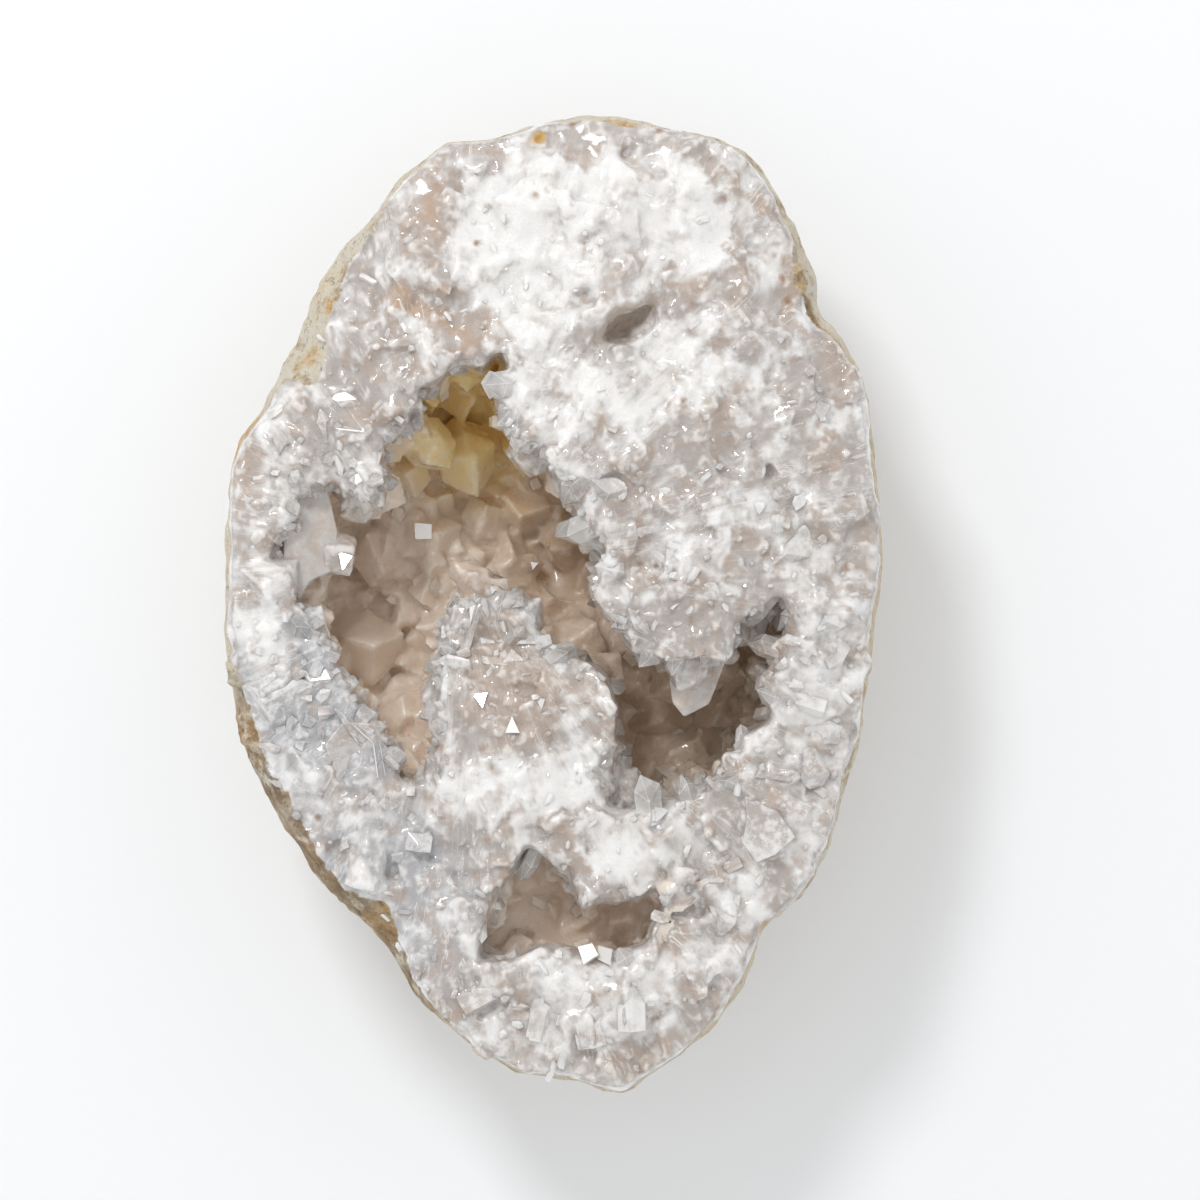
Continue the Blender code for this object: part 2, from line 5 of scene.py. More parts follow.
import bmesh
import bpy
import numpy as np
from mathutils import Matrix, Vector, noise
from mathutils.bvhtree import BVHTree
from mathutils.kdtree import KDTree


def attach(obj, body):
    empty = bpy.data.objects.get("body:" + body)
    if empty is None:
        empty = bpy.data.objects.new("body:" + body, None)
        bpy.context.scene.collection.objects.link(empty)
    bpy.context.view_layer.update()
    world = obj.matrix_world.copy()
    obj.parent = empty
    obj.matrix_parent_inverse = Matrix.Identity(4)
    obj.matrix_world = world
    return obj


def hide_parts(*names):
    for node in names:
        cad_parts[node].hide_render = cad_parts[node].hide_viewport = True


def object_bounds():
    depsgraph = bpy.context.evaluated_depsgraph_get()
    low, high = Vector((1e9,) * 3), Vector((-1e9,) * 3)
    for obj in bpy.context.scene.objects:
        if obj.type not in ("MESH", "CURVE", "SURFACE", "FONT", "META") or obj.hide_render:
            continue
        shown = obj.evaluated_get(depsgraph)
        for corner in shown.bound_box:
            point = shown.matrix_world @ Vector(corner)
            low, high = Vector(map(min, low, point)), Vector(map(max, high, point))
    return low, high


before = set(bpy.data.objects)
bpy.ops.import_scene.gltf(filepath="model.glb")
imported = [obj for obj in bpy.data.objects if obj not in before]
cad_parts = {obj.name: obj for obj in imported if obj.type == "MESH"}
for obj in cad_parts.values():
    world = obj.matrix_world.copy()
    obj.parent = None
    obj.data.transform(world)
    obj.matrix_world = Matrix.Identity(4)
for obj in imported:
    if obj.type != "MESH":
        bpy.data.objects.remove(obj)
cad_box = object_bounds()

MM = 0.001


# Skin of the stone: the rounded back, the broken face and the walls of both hollows, as one closed surface.
# It follows the solids, softened and then uneven again, and everything that grew on the stone is planted on it.
SKIN_GRAIN = 0.38
CRUST_SWELL = 0.38
SKIN_SOFTENING = 4
FACE_SOFTENING = 26
RIND_TOP = 26.9
RIM_SPARE = (
    (0, 0.2), (25, 0.4), (35, 0.6), (45, 0.4), (60, 0.3), (95, 0.3), (105, 0.5), (115, 0.7), (125, 0.8), (135, 0.9),
    (142, 0.6), (150, 0.3), (190, 0.3), (200, 0.6), (210, 0.5), (222, 0.3), (360, 0.2),
)
RIND_LUMPS = ((0.42, 3.4), (0.26, 1.5), (0.14, 0.8))
QUARTZ_LUMPS = ((0.60, 5.2), (0.22, 2.6))
CHIP_SIZES = (3.4, 1.7)
CHIP_TILT = 0.5
TILT_SHIFTS = ((9.3, -1.5, -8.0), (0, 0, 0), (6.3, 0.2, -2.7))
SMALL_HOLLOW_TOP = -19.2
SMALL_HOLLOW_FLOOR = 21.0
SMALL_HOLLOW_RIGHT = 8.6
FACE_LEVEL = 26.2
LIP_LEVEL = 23.0

# Small openings in the face: outline in millimetres, depth, and the colour of what shows in it
PITS = (
    (((3.0, 21.3), (3.7, 23.0), (5.2, 25.0), (9.1, 25.3), (7.8, 23.8), (6.6, 23.0), (6.5, 21.2), (6.1, 21.2),
      (5.9, 22.3), (4.8, 21.9)), 1.5, "brown"),
    (((-2.0, 38.6), (-1.9, 39.5), (-1.2, 39.8), (-0.5, 39.4), (-0.6, 38.7), (-1.3, 38.4)), 1.5, "ochre"),
)
PIT_WALL = 0.45
FREE_DEPTH = 4.0

# Parts of both mouths that are open down to the given height, as outlines in millimetres
OPENINGS = (
    (((-9.8, 17.6), (-9.4, 18.8), (-8.0, 20.3), (-5.9, 19.5), (-5.2, 20.7), (-4.5, 21.0), (-3.8, 19.8), (-5.4, 18.2),
      (-4.8, 16.4), (-4.4, 14.8), (-7.0, 14.0)), 17.0),
    (((0.3, 3.2), (3.0, 1.0), (5.3, -2.4), (6.7, -4.2), (9.2, -4.9), (12.0, -4.5), (14.4, -4.9), (15.3, -4.2), (17.4, -6.6),
      (18.2, -9.8), (15.6, -10.8), (15.5, -12.0), (13.6, -12.4), (12.6, -15.0), (10.6, -15.0),
      (10.2, -16.2), (8.8, -16.0), (8.8, -14.2), (7.0, -13.4), (6.8, -11.4), (5.0, -11.4), (5.4, -8.6), (4.4, -6.0),
      (2.4, -4.2), (1.6, -3.2), (0.2, -3.2)), 15.0),
    (((-2.3, -19.9), (-0.6, -21.0), (0.6, -22.6), (1.9, -23.5), (2.2, -25.5), (3.8, -24.9), (6.0, -25.1), (7.6, -24.6),
      (8.6, -25.4), (8.2, -27.0), (7.8, -28.4), (6.6, -28.6), (5.3, -29.4), (3.4, -29.4), (0.8, -28.4),
      (-1.5, -28.5), (-3.0, -29.6), (-4.8, -29.4), (-6.3, -29.8), (-6.2, -27.8), (-5.2, -26.2), (-4.2, -23.8),
      (-3.4, -22.0)), 20.0),
)


def new_object(name, mesh):
    made = bpy.data.objects.new(name, mesh)
    bpy.context.scene.collection.objects.link(made)
    return made


def triangles_of(mesh):
    """Corners in millimetres and triangles of a mesh, in an order that is the same in every run."""
    corners = np.empty(len(mesh.vertices) * 3)
    mesh.vertices.foreach_get("co", corners)
    corners = corners.reshape(-1, 3) / MM
    starts = np.empty(len(mesh.polygons), dtype=int)
    mesh.polygons.foreach_get("loop_start", starts)
    sizes = np.empty(len(mesh.polygons), dtype=int)
    mesh.polygons.foreach_get("loop_total", sizes)
    loops = np.empty(len(mesh.loops), dtype=int)
    mesh.loops.foreach_get("vertex_index", loops)
    order = np.lexsort(np.round(corners, 4).T)
    rank = np.empty(len(order), dtype=int)
    rank[order] = np.arange(len(order))
    corners = corners[order]
    threes = starts[sizes == 3]
    fours = starts[sizes == 4]
    faces = [rank[loops[threes[:, None] + np.arange(3)]]]
    quads = rank[loops[fours[:, None] + np.arange(4)]]
    first = np.linalg.norm(corners[quads[:, 0]] - corners[quads[:, 2]], axis=1)
    second = np.linalg.norm(corners[quads[:, 1]] - corners[quads[:, 3]], axis=1)
    quads = np.where((first > second)[:, None], np.roll(quads, -1, axis=1), quads)
    faces += [quads[:, [0, 1, 2]], quads[:, [0, 2, 3]]]
    faces = np.concatenate(faces)
    turn = faces.argmin(axis=1)
    faces = faces[np.arange(len(faces))[:, None], (turn[:, None] + np.arange(3)) % 3]
    return corners, faces[np.lexsort(faces.T)]


def one_body(mesh, grain, merging):
    """The outer surface of all that a mesh holds, as even triangles of about the grain's size."""
    body = new_object("body", mesh)
    remesh = body.modifiers.new("Remesh", "REMESH")
    remesh.mode = "VOXEL"
    remesh.voxel_size = grain * MM
    remesh.adaptivity = merging
    bpy.context.view_layer.objects.active = body
    bpy.ops.object.modifier_apply(modifier=remesh.name)
    corners, faces = triangles_of(mesh)
    bpy.data.objects.remove(body)
    bpy.data.meshes.remove(mesh)
    return corners, faces


def joined_solids():
    """The shell and both crusts in one mesh, the crusts a little swollen over the gap between them."""
    work = bmesh.new()
    for name, swell in (("geode_shell", 0), ("crystal_crust", CRUST_SWELL), ("small_crystal_crust", CRUST_SWELL)):
        part = bmesh.new()
        part.from_mesh(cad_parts[name].data)
        bmesh.ops.remove_doubles(part, verts=part.verts, dist=0.001 * MM)
        bmesh.ops.recalc_face_normals(part, faces=part.faces)
        part.normal_update()
        moved = [vert.co + vert.normal * swell * MM for vert in part.verts]
        for vert, place in zip(part.verts, moved):
            vert.co = place
        solid = bpy.data.meshes.new("solid")
        part.to_mesh(solid)
        part.free()
        work.from_mesh(solid)
        bpy.data.meshes.remove(solid)
    mesh = bpy.data.meshes.new("solids")
    work.to_mesh(mesh)
    work.free()
    return mesh


def edges_of(faces):
    ends = np.concatenate([faces[:, [0, 1]], faces[:, [1, 2]], faces[:, [2, 0]]])
    return np.unique(np.sort(ends, axis=1), axis=0)


def neighbour_middles(corners, edges):
    total = np.empty_like(corners)
    for axis in range(3):
        column = corners[:, axis]
        total[:, axis] = np.bincount(edges[:, 0], column[edges[:, 1]], len(corners))
        total[:, axis] += np.bincount(edges[:, 1], column[edges[:, 0]], len(corners))
    return total / np.bincount(edges.ravel(), minlength=len(corners))[:, None]


def softened(corners, edges, share, rounds):
    """Each corner drawn towards the middle of its neighbours, by its own share, round after round."""
    for _ in range(rounds):
        corners = corners + share[:, None] * (neighbour_middles(corners, edges) - corners)
    return corners


def unit(vectors):
    return vectors / np.maximum(np.linalg.norm(vectors, axis=-1), 1e-9)[..., None]


def face_crosses(corners, faces):
    return np.cross(corners[faces[:, 1]] - corners[faces[:, 0]], corners[faces[:, 2]] - corners[faces[:, 0]])


def corner_normals(corners, faces):
    crosses = face_crosses(corners, faces)
    normals = np.zeros_like(corners)
    for axis in range(3):
        for side in range(3):
            normals[:, axis] += np.bincount(faces[:, side], crosses[:, axis], len(corners))
    return unit(normals)


def lumps(corners, sizes):
    """Natural unevenness at each corner, summed over pairs of height and width."""
    total = np.zeros(len(corners))
    for height, width in sizes:
        total += [height * noise.noise(Vector(corner) / width) for corner in corners]
    return total


def chips(corners, size):
    """Small flat breaks, each tilted its own way: the height of each corner on the break that it belongs to."""
    found = np.empty(len(corners))
    for index, corner in enumerate(corners):
        middle = noise.voronoi(Vector(corner) / size)[1][0]
        tilt = Vector([noise.noise(7.3 * middle + Vector(shift)) for shift in TILT_SHIFTS])
        found[index] = CHIP_TILT * (Vector(corner) - middle * size).dot(tilt)
    return found


def tree_of(corners, faces):
    return BVHTree.FromPolygons(corners.tolist(), faces.tolist())


def reach_of(places):
    """How far the stone reaches in each of 360 directions, seen from above."""
    reach = np.zeros(360)
    turns = np.round(np.degrees(np.arctan2(places[:, 1], places[:, 0]))).astype(int) % 360
    np.maximum.at(reach, turns, np.hypot(places[:, 0], places[:, 1]))
    return reach


def at_turn(table, places):
    turn = np.degrees(np.arctan2(places[:, 1], places[:, 0])) % 360
    return np.interp(turn, np.arange(361), np.append(table, table[0]))


def edge_distance(places):
    """How far each place lies in from the silhouette."""
    return at_turn(silhouette, places) - np.hypot(places[:, 0], places[:, 1])


skin, skin_faces = one_body(joined_solids(), SKIN_GRAIN, 0)
full_reach = reach_of(skin)
skin_edges = edges_of(skin_faces)
skin = softened(skin, skin_edges, np.full(len(skin), 0.6), SKIN_SOFTENING)
normals = corner_normals(skin, skin_faces)

# Which corners lie on the outside of the stone, which in a hollow, and which on the broken face
skin_tree = tree_of(skin, skin_faces)
outside = np.zeros(len(skin), dtype=bool)
covered = np.zeros(len(skin), dtype=bool)
for index, (corner, normal) in enumerate(zip(skin, normals)):
    start = Vector(corner) + 0.25 * Vector(normal)
    outward = Vector((start.x, start.y, 0)).normalized()
    outside[index] = skin_tree.ray_cast(start, outward)[0] is None
    covered[index] = skin_tree.ray_cast(start, Vector((0, 0, 1)))[0] is not None
face_like = outside & (skin[:, 2] > RIND_TOP - 0.4) & (normals[:, 2] > 0.3)
rind_like = outside & ~face_like
in_hollow = ~outside & ((skin[:, 2] < FACE_LEVEL) | covered)
face_like |= ~outside & ~in_hollow
in_small_hollow = in_hollow & (skin[:, 1] < SMALL_HOLLOW_TOP) & (skin[:, 0] > -9) & (skin[:, 0] < 15)

silhouette = reach_of(skin)
from_edge = edge_distance(skin)
soft_share = np.where(face_like & (from_edge > 0.8), 0.6, np.where(in_hollow, 0.25, 0.12))
skin = softened(skin, skin_edges, soft_share, FACE_SOFTENING)
normals = corner_normals(skin, skin_faces)
rise = np.zeros(len(skin))
rise[rind_like] = lumps(skin[rind_like], RIND_LUMPS)
quartz = ~rind_like
rise[quartz] = lumps(skin[quartz], QUARTZ_LUMPS)
for chip_size in CHIP_SIZES:
    rise[quartz] += chips(skin[quartz], chip_size)
rise[face_like] *= np.clip(from_edge / 1.5, 0.15, 1)[face_like]
skin = skin + normals * rise[:, None]

# What the softening took off the rim goes back on
push = np.clip(full_reach - reach_of(skin), 0, 1.2)
push += np.interp(np.arange(360), [row[0] for row in RIM_SPARE], [row[1] for row in RIM_SPARE])
weight = np.clip((skin[:, 2] - 10) / 10, 0, 1) * np.clip(1 - edge_distance(skin) / 3.5, 0, 1) * outside
skin[:, :2] += unit(skin[:, :2]) * (at_turn(push, skin) * weight)[:, None]
silhouette = reach_of(skin)
from_edge = edge_distance(skin)
skin[:, 2] = np.maximum(skin[:, 2], 0)


def depth_in(places, outline):
    """How far each place lies inside an outline, seen from above; 0 outside it."""
    ends = np.array(outline)
    starts = np.roll(ends, 1, axis=0)
    x, y = places[:, :1], places[:, 1:2]
    crossed = (ends[:, 1] > y) != (starts[:, 1] > y)
    slope = (starts[:, 0] - ends[:, 0]) / (starts[:, 1] - ends[:, 1] + 1e-9)
    crossed &= x < ends[:, 0] + slope * (y - ends[:, 1])
    way = ends - starts
    share = ((x - starts[:, 0]) * way[:, 0] + (y - starts[:, 1]) * way[:, 1]) / (way**2).sum(axis=1)
    share = np.clip(share, 0, 1)
    away = np.hypot(x - starts[:, 0] - share * way[:, 0], y - starts[:, 1] - share * way[:, 1]).min(axis=1)
    return np.where(crossed.sum(axis=1) % 2 == 1, away, 0)


def clear_of_pits(crystals):
    """The crystals that don't reach over one of the small openings."""
    roots, axes, radii, lengths, _ = crystals
    kept = np.ones(len(roots), dtype=bool)
    for outline in [row[0] for row in (*PITS, *OPENINGS)]:
        for share in (0.4, 0.7, 1.0):
            for aside in ((-0.6, 0), (0.6, 0), (0, -0.6), (0, 0.6)):
                places = roots + axes * (share * lengths)[:, None]
                places[:, :2] += np.array(aside) * radii[:, None]
                kept &= depth_in(places, outline) == 0
    return [column[kept] for column in crystals]


in_pit = {"brown": np.zeros(len(skin)), "ochre": np.zeros(len(skin))}
PIT_TINT = {"brown": 0.5, "ochre": 1.0}
for outline, depth, colour in PITS:
    sunk = np.clip(depth_in(skin, outline) / PIT_WALL, 0, 1) * (face_like & (normals[:, 2] > 0))
    skin[:, 2] -= depth * sunk
    in_pit[colour] = np.maximum(in_pit[colour], PIT_TINT[colour] * np.clip(1.6 * sunk, 0, 1))
for outline, floor_height in OPENINGS:
    sunk = np.clip(depth_in(skin, outline) / PIT_WALL, 0, 1)
    skin[:, 2] = np.minimum(skin[:, 2], 28.5 - (28.5 - floor_height) * sunk + 4 * (sunk == 0))
    opened = (sunk > 0.2) & (skin[:, 2] < FACE_LEVEL) & ~rind_like
    in_hollow |= opened
    face_like &= ~opened
    in_small_hollow |= opened & (skin[:, 1] < SMALL_HOLLOW_TOP)
tail = in_small_hollow & (skin[:, 0] > SMALL_HOLLOW_RIGHT)
skin[tail, 2] = np.maximum(skin[tail, 2], FACE_LEVEL + 2.2)
shallow = in_small_hollow & (skin[:, 2] < SMALL_HOLLOW_FLOOR)
skin[shallow, 2] = SMALL_HOLLOW_FLOOR + 0.35 * (skin[shallow, 2] - SMALL_HOLLOW_FLOOR)
skin_tree = tree_of(skin, skin_faces)
chance = np.random.default_rng(77)


# Crystals that line the large hollow: six-sided quartz points of all sizes, grown out of the wall side by side.
# They are blunt, glassy and smoky, and they merge with the wall at the root. The largest stand on the floor.
HOLLOW_CRYSTALS = (
    {"spacing": 3.1, "radius": (1.8, 2.9), "length": (3.4, 5.0), "sunk": 0.52, "tilt": 0.35},
    {"spacing": 1.9, "radius": (0.8, 1.4), "length": (1.8, 3.0), "sunk": 0.48, "tilt": 0.6},
)
LARGE_FLOOR_CRYSTALS = (
    ((-8.2, 13.6, 12.0), (-6.8, 11.2, 17.6), 2.9),
    ((-17.4, -2.2, 8.0), (-15.0, -4.6, 15.8), 3.2),
    ((-14.0, -8.0, 8.0), (-12.4, -10.4, 15.2), 2.6),
    ((-15.8, 5.4, 8.0), (-14.2, 3.4, 14.6), 2.9),
    ((-9.6, 5.0, 6.0), (-8.6, 3.6, 12.6), 3.0),
    ((-2.6, 9.0, 7.0), (-2.6, 7.4, 13.6), 2.5),
    ((-13.2, 12.4, 12.0), (-12.2, 10.4, 17.6), 2.2),
    ((-16.8, 11.0, 12.0), (-14.8, 9.0, 17.8), 2.3),
)


# Where the wall of the large hollow is smooth
SMOOTH_WALLS = (((-6.4, 17.5, 17.0), 6.5), ((4.0, -3.0, 13.0), 7.0), ((8.0, -9.0, 14.0), 5.0))


def off_smooth_walls(places):
    far = np.ones(len(places), dtype=bool)
    for middle, radius in SMOOTH_WALLS:
        far &= np.linalg.norm(places - np.array(middle), axis=1) > radius
    return far


def surface_of(wanted):
    """Middles, normals, areas and first corners of the skin's faces whose first corner is wanted."""
    kept = skin_faces[wanted[skin_faces[:, 0]]]
    area = np.linalg.norm(face_crosses(skin, kept), axis=1) / 2
    return skin[kept].mean(axis=1), unit(normals[kept].mean(axis=1)), area, kept[:, 0]


def spread(places, weight, spacing, fill=1.1):
    """Indices of places chosen at random by weight, no two nearer than the spacing."""
    wanted = min(int(fill * weight.sum() / spacing**2), np.count_nonzero(weight))
    picked = chance.choice(len(places), size=wanted, replace=False, p=weight / weight.sum())
    steps = [(x, y, z) for x in (-1, 0, 1) for y in (-1, 0, 1) for z in (-1, 0, 1)]
    cells = {}
    kept = []
    for index in picked:
        place = places[index]
        cell = tuple(np.floor(place / spacing).astype(int))
        near = [cells.get((cell[0] + x, cell[1] + y, cell[2] + z), ()) for x, y, z in steps]
        if all(((places[other] - place) ** 2).sum() >= spacing**2 for group in near for other in group):
            cells.setdefault(cell, []).append(index)
            kept.append(index)
    return np.array(kept)


def grown(surface, sorts):
    """Crystals of several sorts, grown over a surface: roots, axes, radii, lengths and skin normals."""
    middles, out, area, _ = surface
    parts = []
    rough_wall = off_smooth_walls(middles)
    for sort in sorts:
        chosen = spread(middles, area * (rough_wall | (sort["radius"][1] > 2)), sort["spacing"])
        radii = chance.uniform(*sort["radius"], len(chosen))
        lengths = chance.uniform(*sort["length"], len(chosen))
        axes = unit(out[chosen] + sort["tilt"] * chance.uniform(-1, 1, (len(chosen), 3)))
        roots = middles[chosen] - axes * (sort["sunk"] * lengths)[:, None]
        parts.append((roots, axes, radii, lengths, out[chosen]))
    return [np.concatenate(column) for column in zip(*parts)]


def placed(rows):
    """Crystals set one by one, from their roots, points and radii."""
    roots = np.array([row[0] for row in rows], dtype=float)
    tips = np.array([row[1] for row in rows], dtype=float)
    radii = np.array([row[2] for row in rows], dtype=float)
    return [roots, unit(tips - roots), radii, np.linalg.norm(tips - roots, axis=1), unit(tips - roots)]


def crystal_arrays(crystals):
    """Corners and triangles of many closed crystals: a six-sided column, uneven shoulders, a leaning point."""
    roots, axes, radii, lengths, _ = crystals
    count = len(roots)
    aside = unit(np.cross(axes, chance.normal(size=(count, 3))))
    across = np.cross(axes, aside)
    flat = chance.uniform(0.72, 1.0, count)
    point = np.minimum(radii * chance.uniform(0.75, 1.35, count), 0.75 * lengths)
    corners = np.empty((count, 13, 3))
    for side in range(6):
        turn = math.radians(60 * side)
        ring = radii[:, None] * (math.cos(turn) * aside + (flat * math.sin(turn))[:, None] * across)
        lift = lengths - point + point * ((0.3 if side % 2 else -0.3) + chance.uniform(-0.3, 0.3, count))
        corners[:, side] = roots + ring
        corners[:, side + 6] = roots + ring + axes * np.maximum(lift, 0.1 * lengths)[:, None]
    lean = chance.uniform(-0.34, 0.34, (count, 2)) * radii[:, None]
    corners[:, 12] = roots + axes * lengths[:, None] + lean[:, :1] * aside + lean[:, 1:] * across
    away = corners - roots[:, None]
    grain = np.stack([(away * way[:, None]).sum(axis=2) for way in (aside, across, 0.22 * axes)], axis=2)
    grain += chance.uniform(-50, 50, (count, 1, 3))
    faces = []
    for side in range(6):
        after = (side + 1) % 6
        faces += [(side, after, after + 6), (side, after + 6, side + 6), (side + 6, after + 6, 12)]
    faces += [(0, 5, 4), (0, 4, 3), (0, 3, 2), (0, 2, 1)]
    every = np.arange(count)[:, None, None] * 13 + np.array(faces)[None]
    return corners.reshape(-1, 3), every.reshape(-1, 3), grain.reshape(-1, 3)


def below_openings(crystals):
    """The hollow crystals that don't reach up into an opening of the mouths."""
    roots, axes, radii, lengths, _ = crystals
    kept = np.ones(len(roots), dtype=bool)
    for outline, floor_height in OPENINGS:
        for share in (0.5, 0.75, 1.0):
            places = roots + axes * (share * lengths)[:, None]
            kept &= (depth_in(places, outline) == 0) | (places[:, 2] + 0.5 * radii < floor_height + FREE_DEPTH)
    return [column[kept] for column in crystals]


large_crystals = below_openings(grown(surface_of(in_hollow & ~in_small_hollow), HOLLOW_CRYSTALS))
floor_crystals = placed(LARGE_FLOOR_CRYSTALS)


# Crystals that line the small hollow below the ridge: the same quartz points, somewhat smaller and clearer.
# They stand thickest along its lower edge.
SMALL_HOLLOW_CRYSTALS = (
    {"spacing": 3.0, "radius": (1.8, 3.0), "length": (3.0, 4.4), "sunk": 0.6, "tilt": 0.35},
    {"spacing": 2.0, "radius": (0.6, 1.1), "length": (1.4, 2.4), "sunk": 0.5, "tilt": 0.6},
)
small_crystals = below_openings(grown(surface_of(in_small_hollow), SMALL_HOLLOW_CRYSTALS))


# Columns of the quartz round the hollows: they grew in from the rind, so they lie along the way to the nearest
# hollow, side by side, half broken across. They are coarse at the left, right and bottom, and fine on the mass.
COARSE_PLACES = (
    ((-19, 12), 7.5), ((-21, -10), 9.0), ((-14, -19), 6.0), ((21, -4), 6.0), ((20, -14), 7.0), ((14, -24), 5.0),
    ((0, -35), 9.0), ((9, 2), 5.0), ((-5, -3), 6.0), ((-13, 27), 4.5), ((20, 8), 5.0),
)
STOUT_COLUMN = 1.1
MOUTH_REACH = 4.5
COLUMNS = (
    {"spacing": 3.3, "radius": (1.5, 3.0), "length": (5.0, 8.5), "coarse": (0.3, 1.0)},
    {"spacing": 2.1, "radius": (0.7, 1.5), "length": (2.2, 4.4), "coarse": (0.0, 1.0)},
)


def coarseness(places):
    """1 in the middle of the coarse places of the face, 0 outside them."""
    most = np.zeros(len(places))
    for (x, y), radius in COARSE_PLACES:
        away = np.hypot(places[:, 0] - x, places[:, 1] - y) / radius
        most = np.maximum(most, np.clip(1.6 * (1 - away), 0, 1))
    return most


def way_in(places):
    """The level way from each place of the face towards the nearest edge of a hollow, and how far it is."""
    edge = skin[in_hollow & (skin[:, 2] > LIP_LEVEL - 3)][::3]
    tree = KDTree(len(edge))
    for index, corner in enumerate(edge):
        tree.insert((corner[0], corner[1], 0), index)
    tree.balance()
    found = np.zeros((len(places), 3))
    reach = np.empty(len(places))
    for index, place in enumerate(places):
        nearest, _, reach[index] = tree.find((place[0], place[1], 0))
        found[index, :2] = nearest.x - place[0], nearest.y - place[1]
    return unit(found), reach


whole = (in_pit["brown"] + in_pit["ochre"]) == 0
face_surface = surface_of(face_like & (normals[:, 2] > 0.4) & (from_edge > 1.2) & whole)
middles, out, area, first_corners = face_surface
inward, to_hollow = way_in(middles)
coarse = coarseness(middles)
parts = []
for sort in COLUMNS:
    low, high = sort["coarse"]
    chosen = spread(middles, area * ((coarse >= low) & (coarse <= high)), sort["spacing"])
    radii = chance.uniform(*sort["radius"], len(chosen)) * (0.6 + 0.4 * coarse[chosen])
    lengths = chance.uniform(*sort["length"], len(chosen)) * (0.5 + 0.5 * coarse[chosen])
    lengths = np.minimum(lengths, 0.8 + 1.2 * to_hollow[chosen])
    lengths = np.minimum(lengths, 1.3 * from_edge[first_corners][chosen])
    up = chance.uniform(0.35, 1.3, len(chosen))[:, None]
    axes = unit(out[chosen] * up + inward[chosen] + 0.35 * chance.normal(size=(len(chosen), 3)))
    roots = middles[chosen] - axes * (0.55 * lengths)[:, None] - out[chosen] * (0.5 * radii)[:, None]
    parts.append((roots, axes, radii, lengths, out[chosen], to_hollow[chosen]))
*columns, column_reach = [np.concatenate(column) for column in zip(*parts)]
near_mouth = (columns[2] > STOUT_COLUMN) & (column_reach < MOUTH_REACH)
near_mouth &= edge_distance(columns[0] + columns[1] * columns[3][:, None]) > 3.0
face_crystals = clear_of_pits([column[near_mouth] for column in columns])
columns = clear_of_pits(columns)


# The stone as one body: skin, hollow crystals and columns merged where they meet, then parted by colour
# into the rind, the broken quartz and the linings of both hollows. Light goes a little way into the quartz.
BODY_GRAIN = 0.22
BODY_MERGING = 0.15
BODY_SOFTENING = 3
BODY_LUMPS = ((0.10, 1.1), (0.05, 0.5))

# Width of the rind that shows round the face, in millimetres, for directions in degrees
RIND_WIDTH = (
    (0, 0.2), (10, 0.3), (40, 0.2), (45, 0.9), (49, 1.9), (53, 2.7), (56, 1.6), (60, 0.3), (77, 0.4), (82, 1.2), (87, 0.9),
    (91, 0.3), (104, 0.25), (109, 0.7), (114, 1.1), (119, 1.6), (126, 2.6), (130, 3.0), (133, 3.6), (136, 3.9), (138.5, 3.0),
    (140, 0.8), (146, 0.5), (152, 0.3), (165, 0.15), (186, 0.2), (190, 0.7), (197, 1.8), (204, 1.7), (210, 1.5), (215, 2.1),
    (221, 1.7), (228, 1.6), (233, 1.5), (237, 1.9), (241, 2.9), (244, 2.2), (249, 1.3), (256, 0.7), (262, 0.3), (275, 0.15),
    (300, 0.15), (303, 0.8), (306, 0.15), (331, 0.4), (340, 0.2), (360, 0.2),
)
GRAIN_MIDDLE = (-7.0, 3.0)
GRAIN_REACH = 18.0


class Wire:
    """One socket of a material. Sums on wires add Math nodes."""

    def __init__(self, tree, socket=None):
        self.tree = tree
        self.socket = socket

    def add(self, kind, settings, values, out=0):
        """Adds a node: its settings first, then the values or links of its sockets."""
        node = self.tree.nodes.new("ShaderNode" + kind)
        for name, value in settings.items():
            setattr(node, name, value)
        for name, value in values.items():
            if isinstance(value, Wire):
                self.tree.links.new(value.socket, node.inputs[name])
            else:
                node.inputs[name].default_value = value
        return Wire(self.tree, node.outputs[out])

    def maths(self, operation, first, second):
        return self.add("Math", {"operation": operation}, {0: first, 1: second})

    def __add__(self, other):
        return self.maths("ADD", self, other)

    def __radd__(self, other):
        return self.maths("ADD", other, self)

    def __sub__(self, other):
        return self.maths("SUBTRACT", self, other)

    def __rsub__(self, other):
        return self.maths("SUBTRACT", other, self)

    def __mul__(self, other):
        return self.maths("MULTIPLY", self, other)

    def __rmul__(self, other):
        return self.maths("MULTIPLY", other, self)

    def least(self, other):
        return self.maths("MINIMUM", self, other)

    def most(self, other):
        return self.maths("MAXIMUM", self, other)

    def between(self, low, high):
        """0 below the low value, 1 above the high one, and a smooth step from one to the other."""
        ends = {"Value": self, "From Min": low, "From Max": high, "To Min": 0.0, "To Max": 1.0}
        return self.add("MapRange", {"interpolation_type": "SMOOTHSTEP"}, ends)

    def paint(self, under, over):
        """A colour mixed by this wire, from the one under it to the one over it."""
        return self.add("Mix", {"data_type": "RGBA"}, {0: self, 6: under, 7: over}, out=2)


def srgb(red, green, blue):
    """A colour as the eye's 0 to 255 numbers, turned into linear light."""
    light = [(((part / 255) + 0.055) / 1.055) ** 2.4 for part in (red, green, blue)]
    return (*light, 1.0)


def new_material(name):
    """A material, with its shader node and wires for its place and its corner values."""
    material = bpy.data.materials.new(name)
    material.use_nodes = True
    tree = material.node_tree
    base = Wire(tree)
    return material, tree, tree.nodes["Principled BSDF"], base, base.add("TexCoord", {}, {}, out="Object")


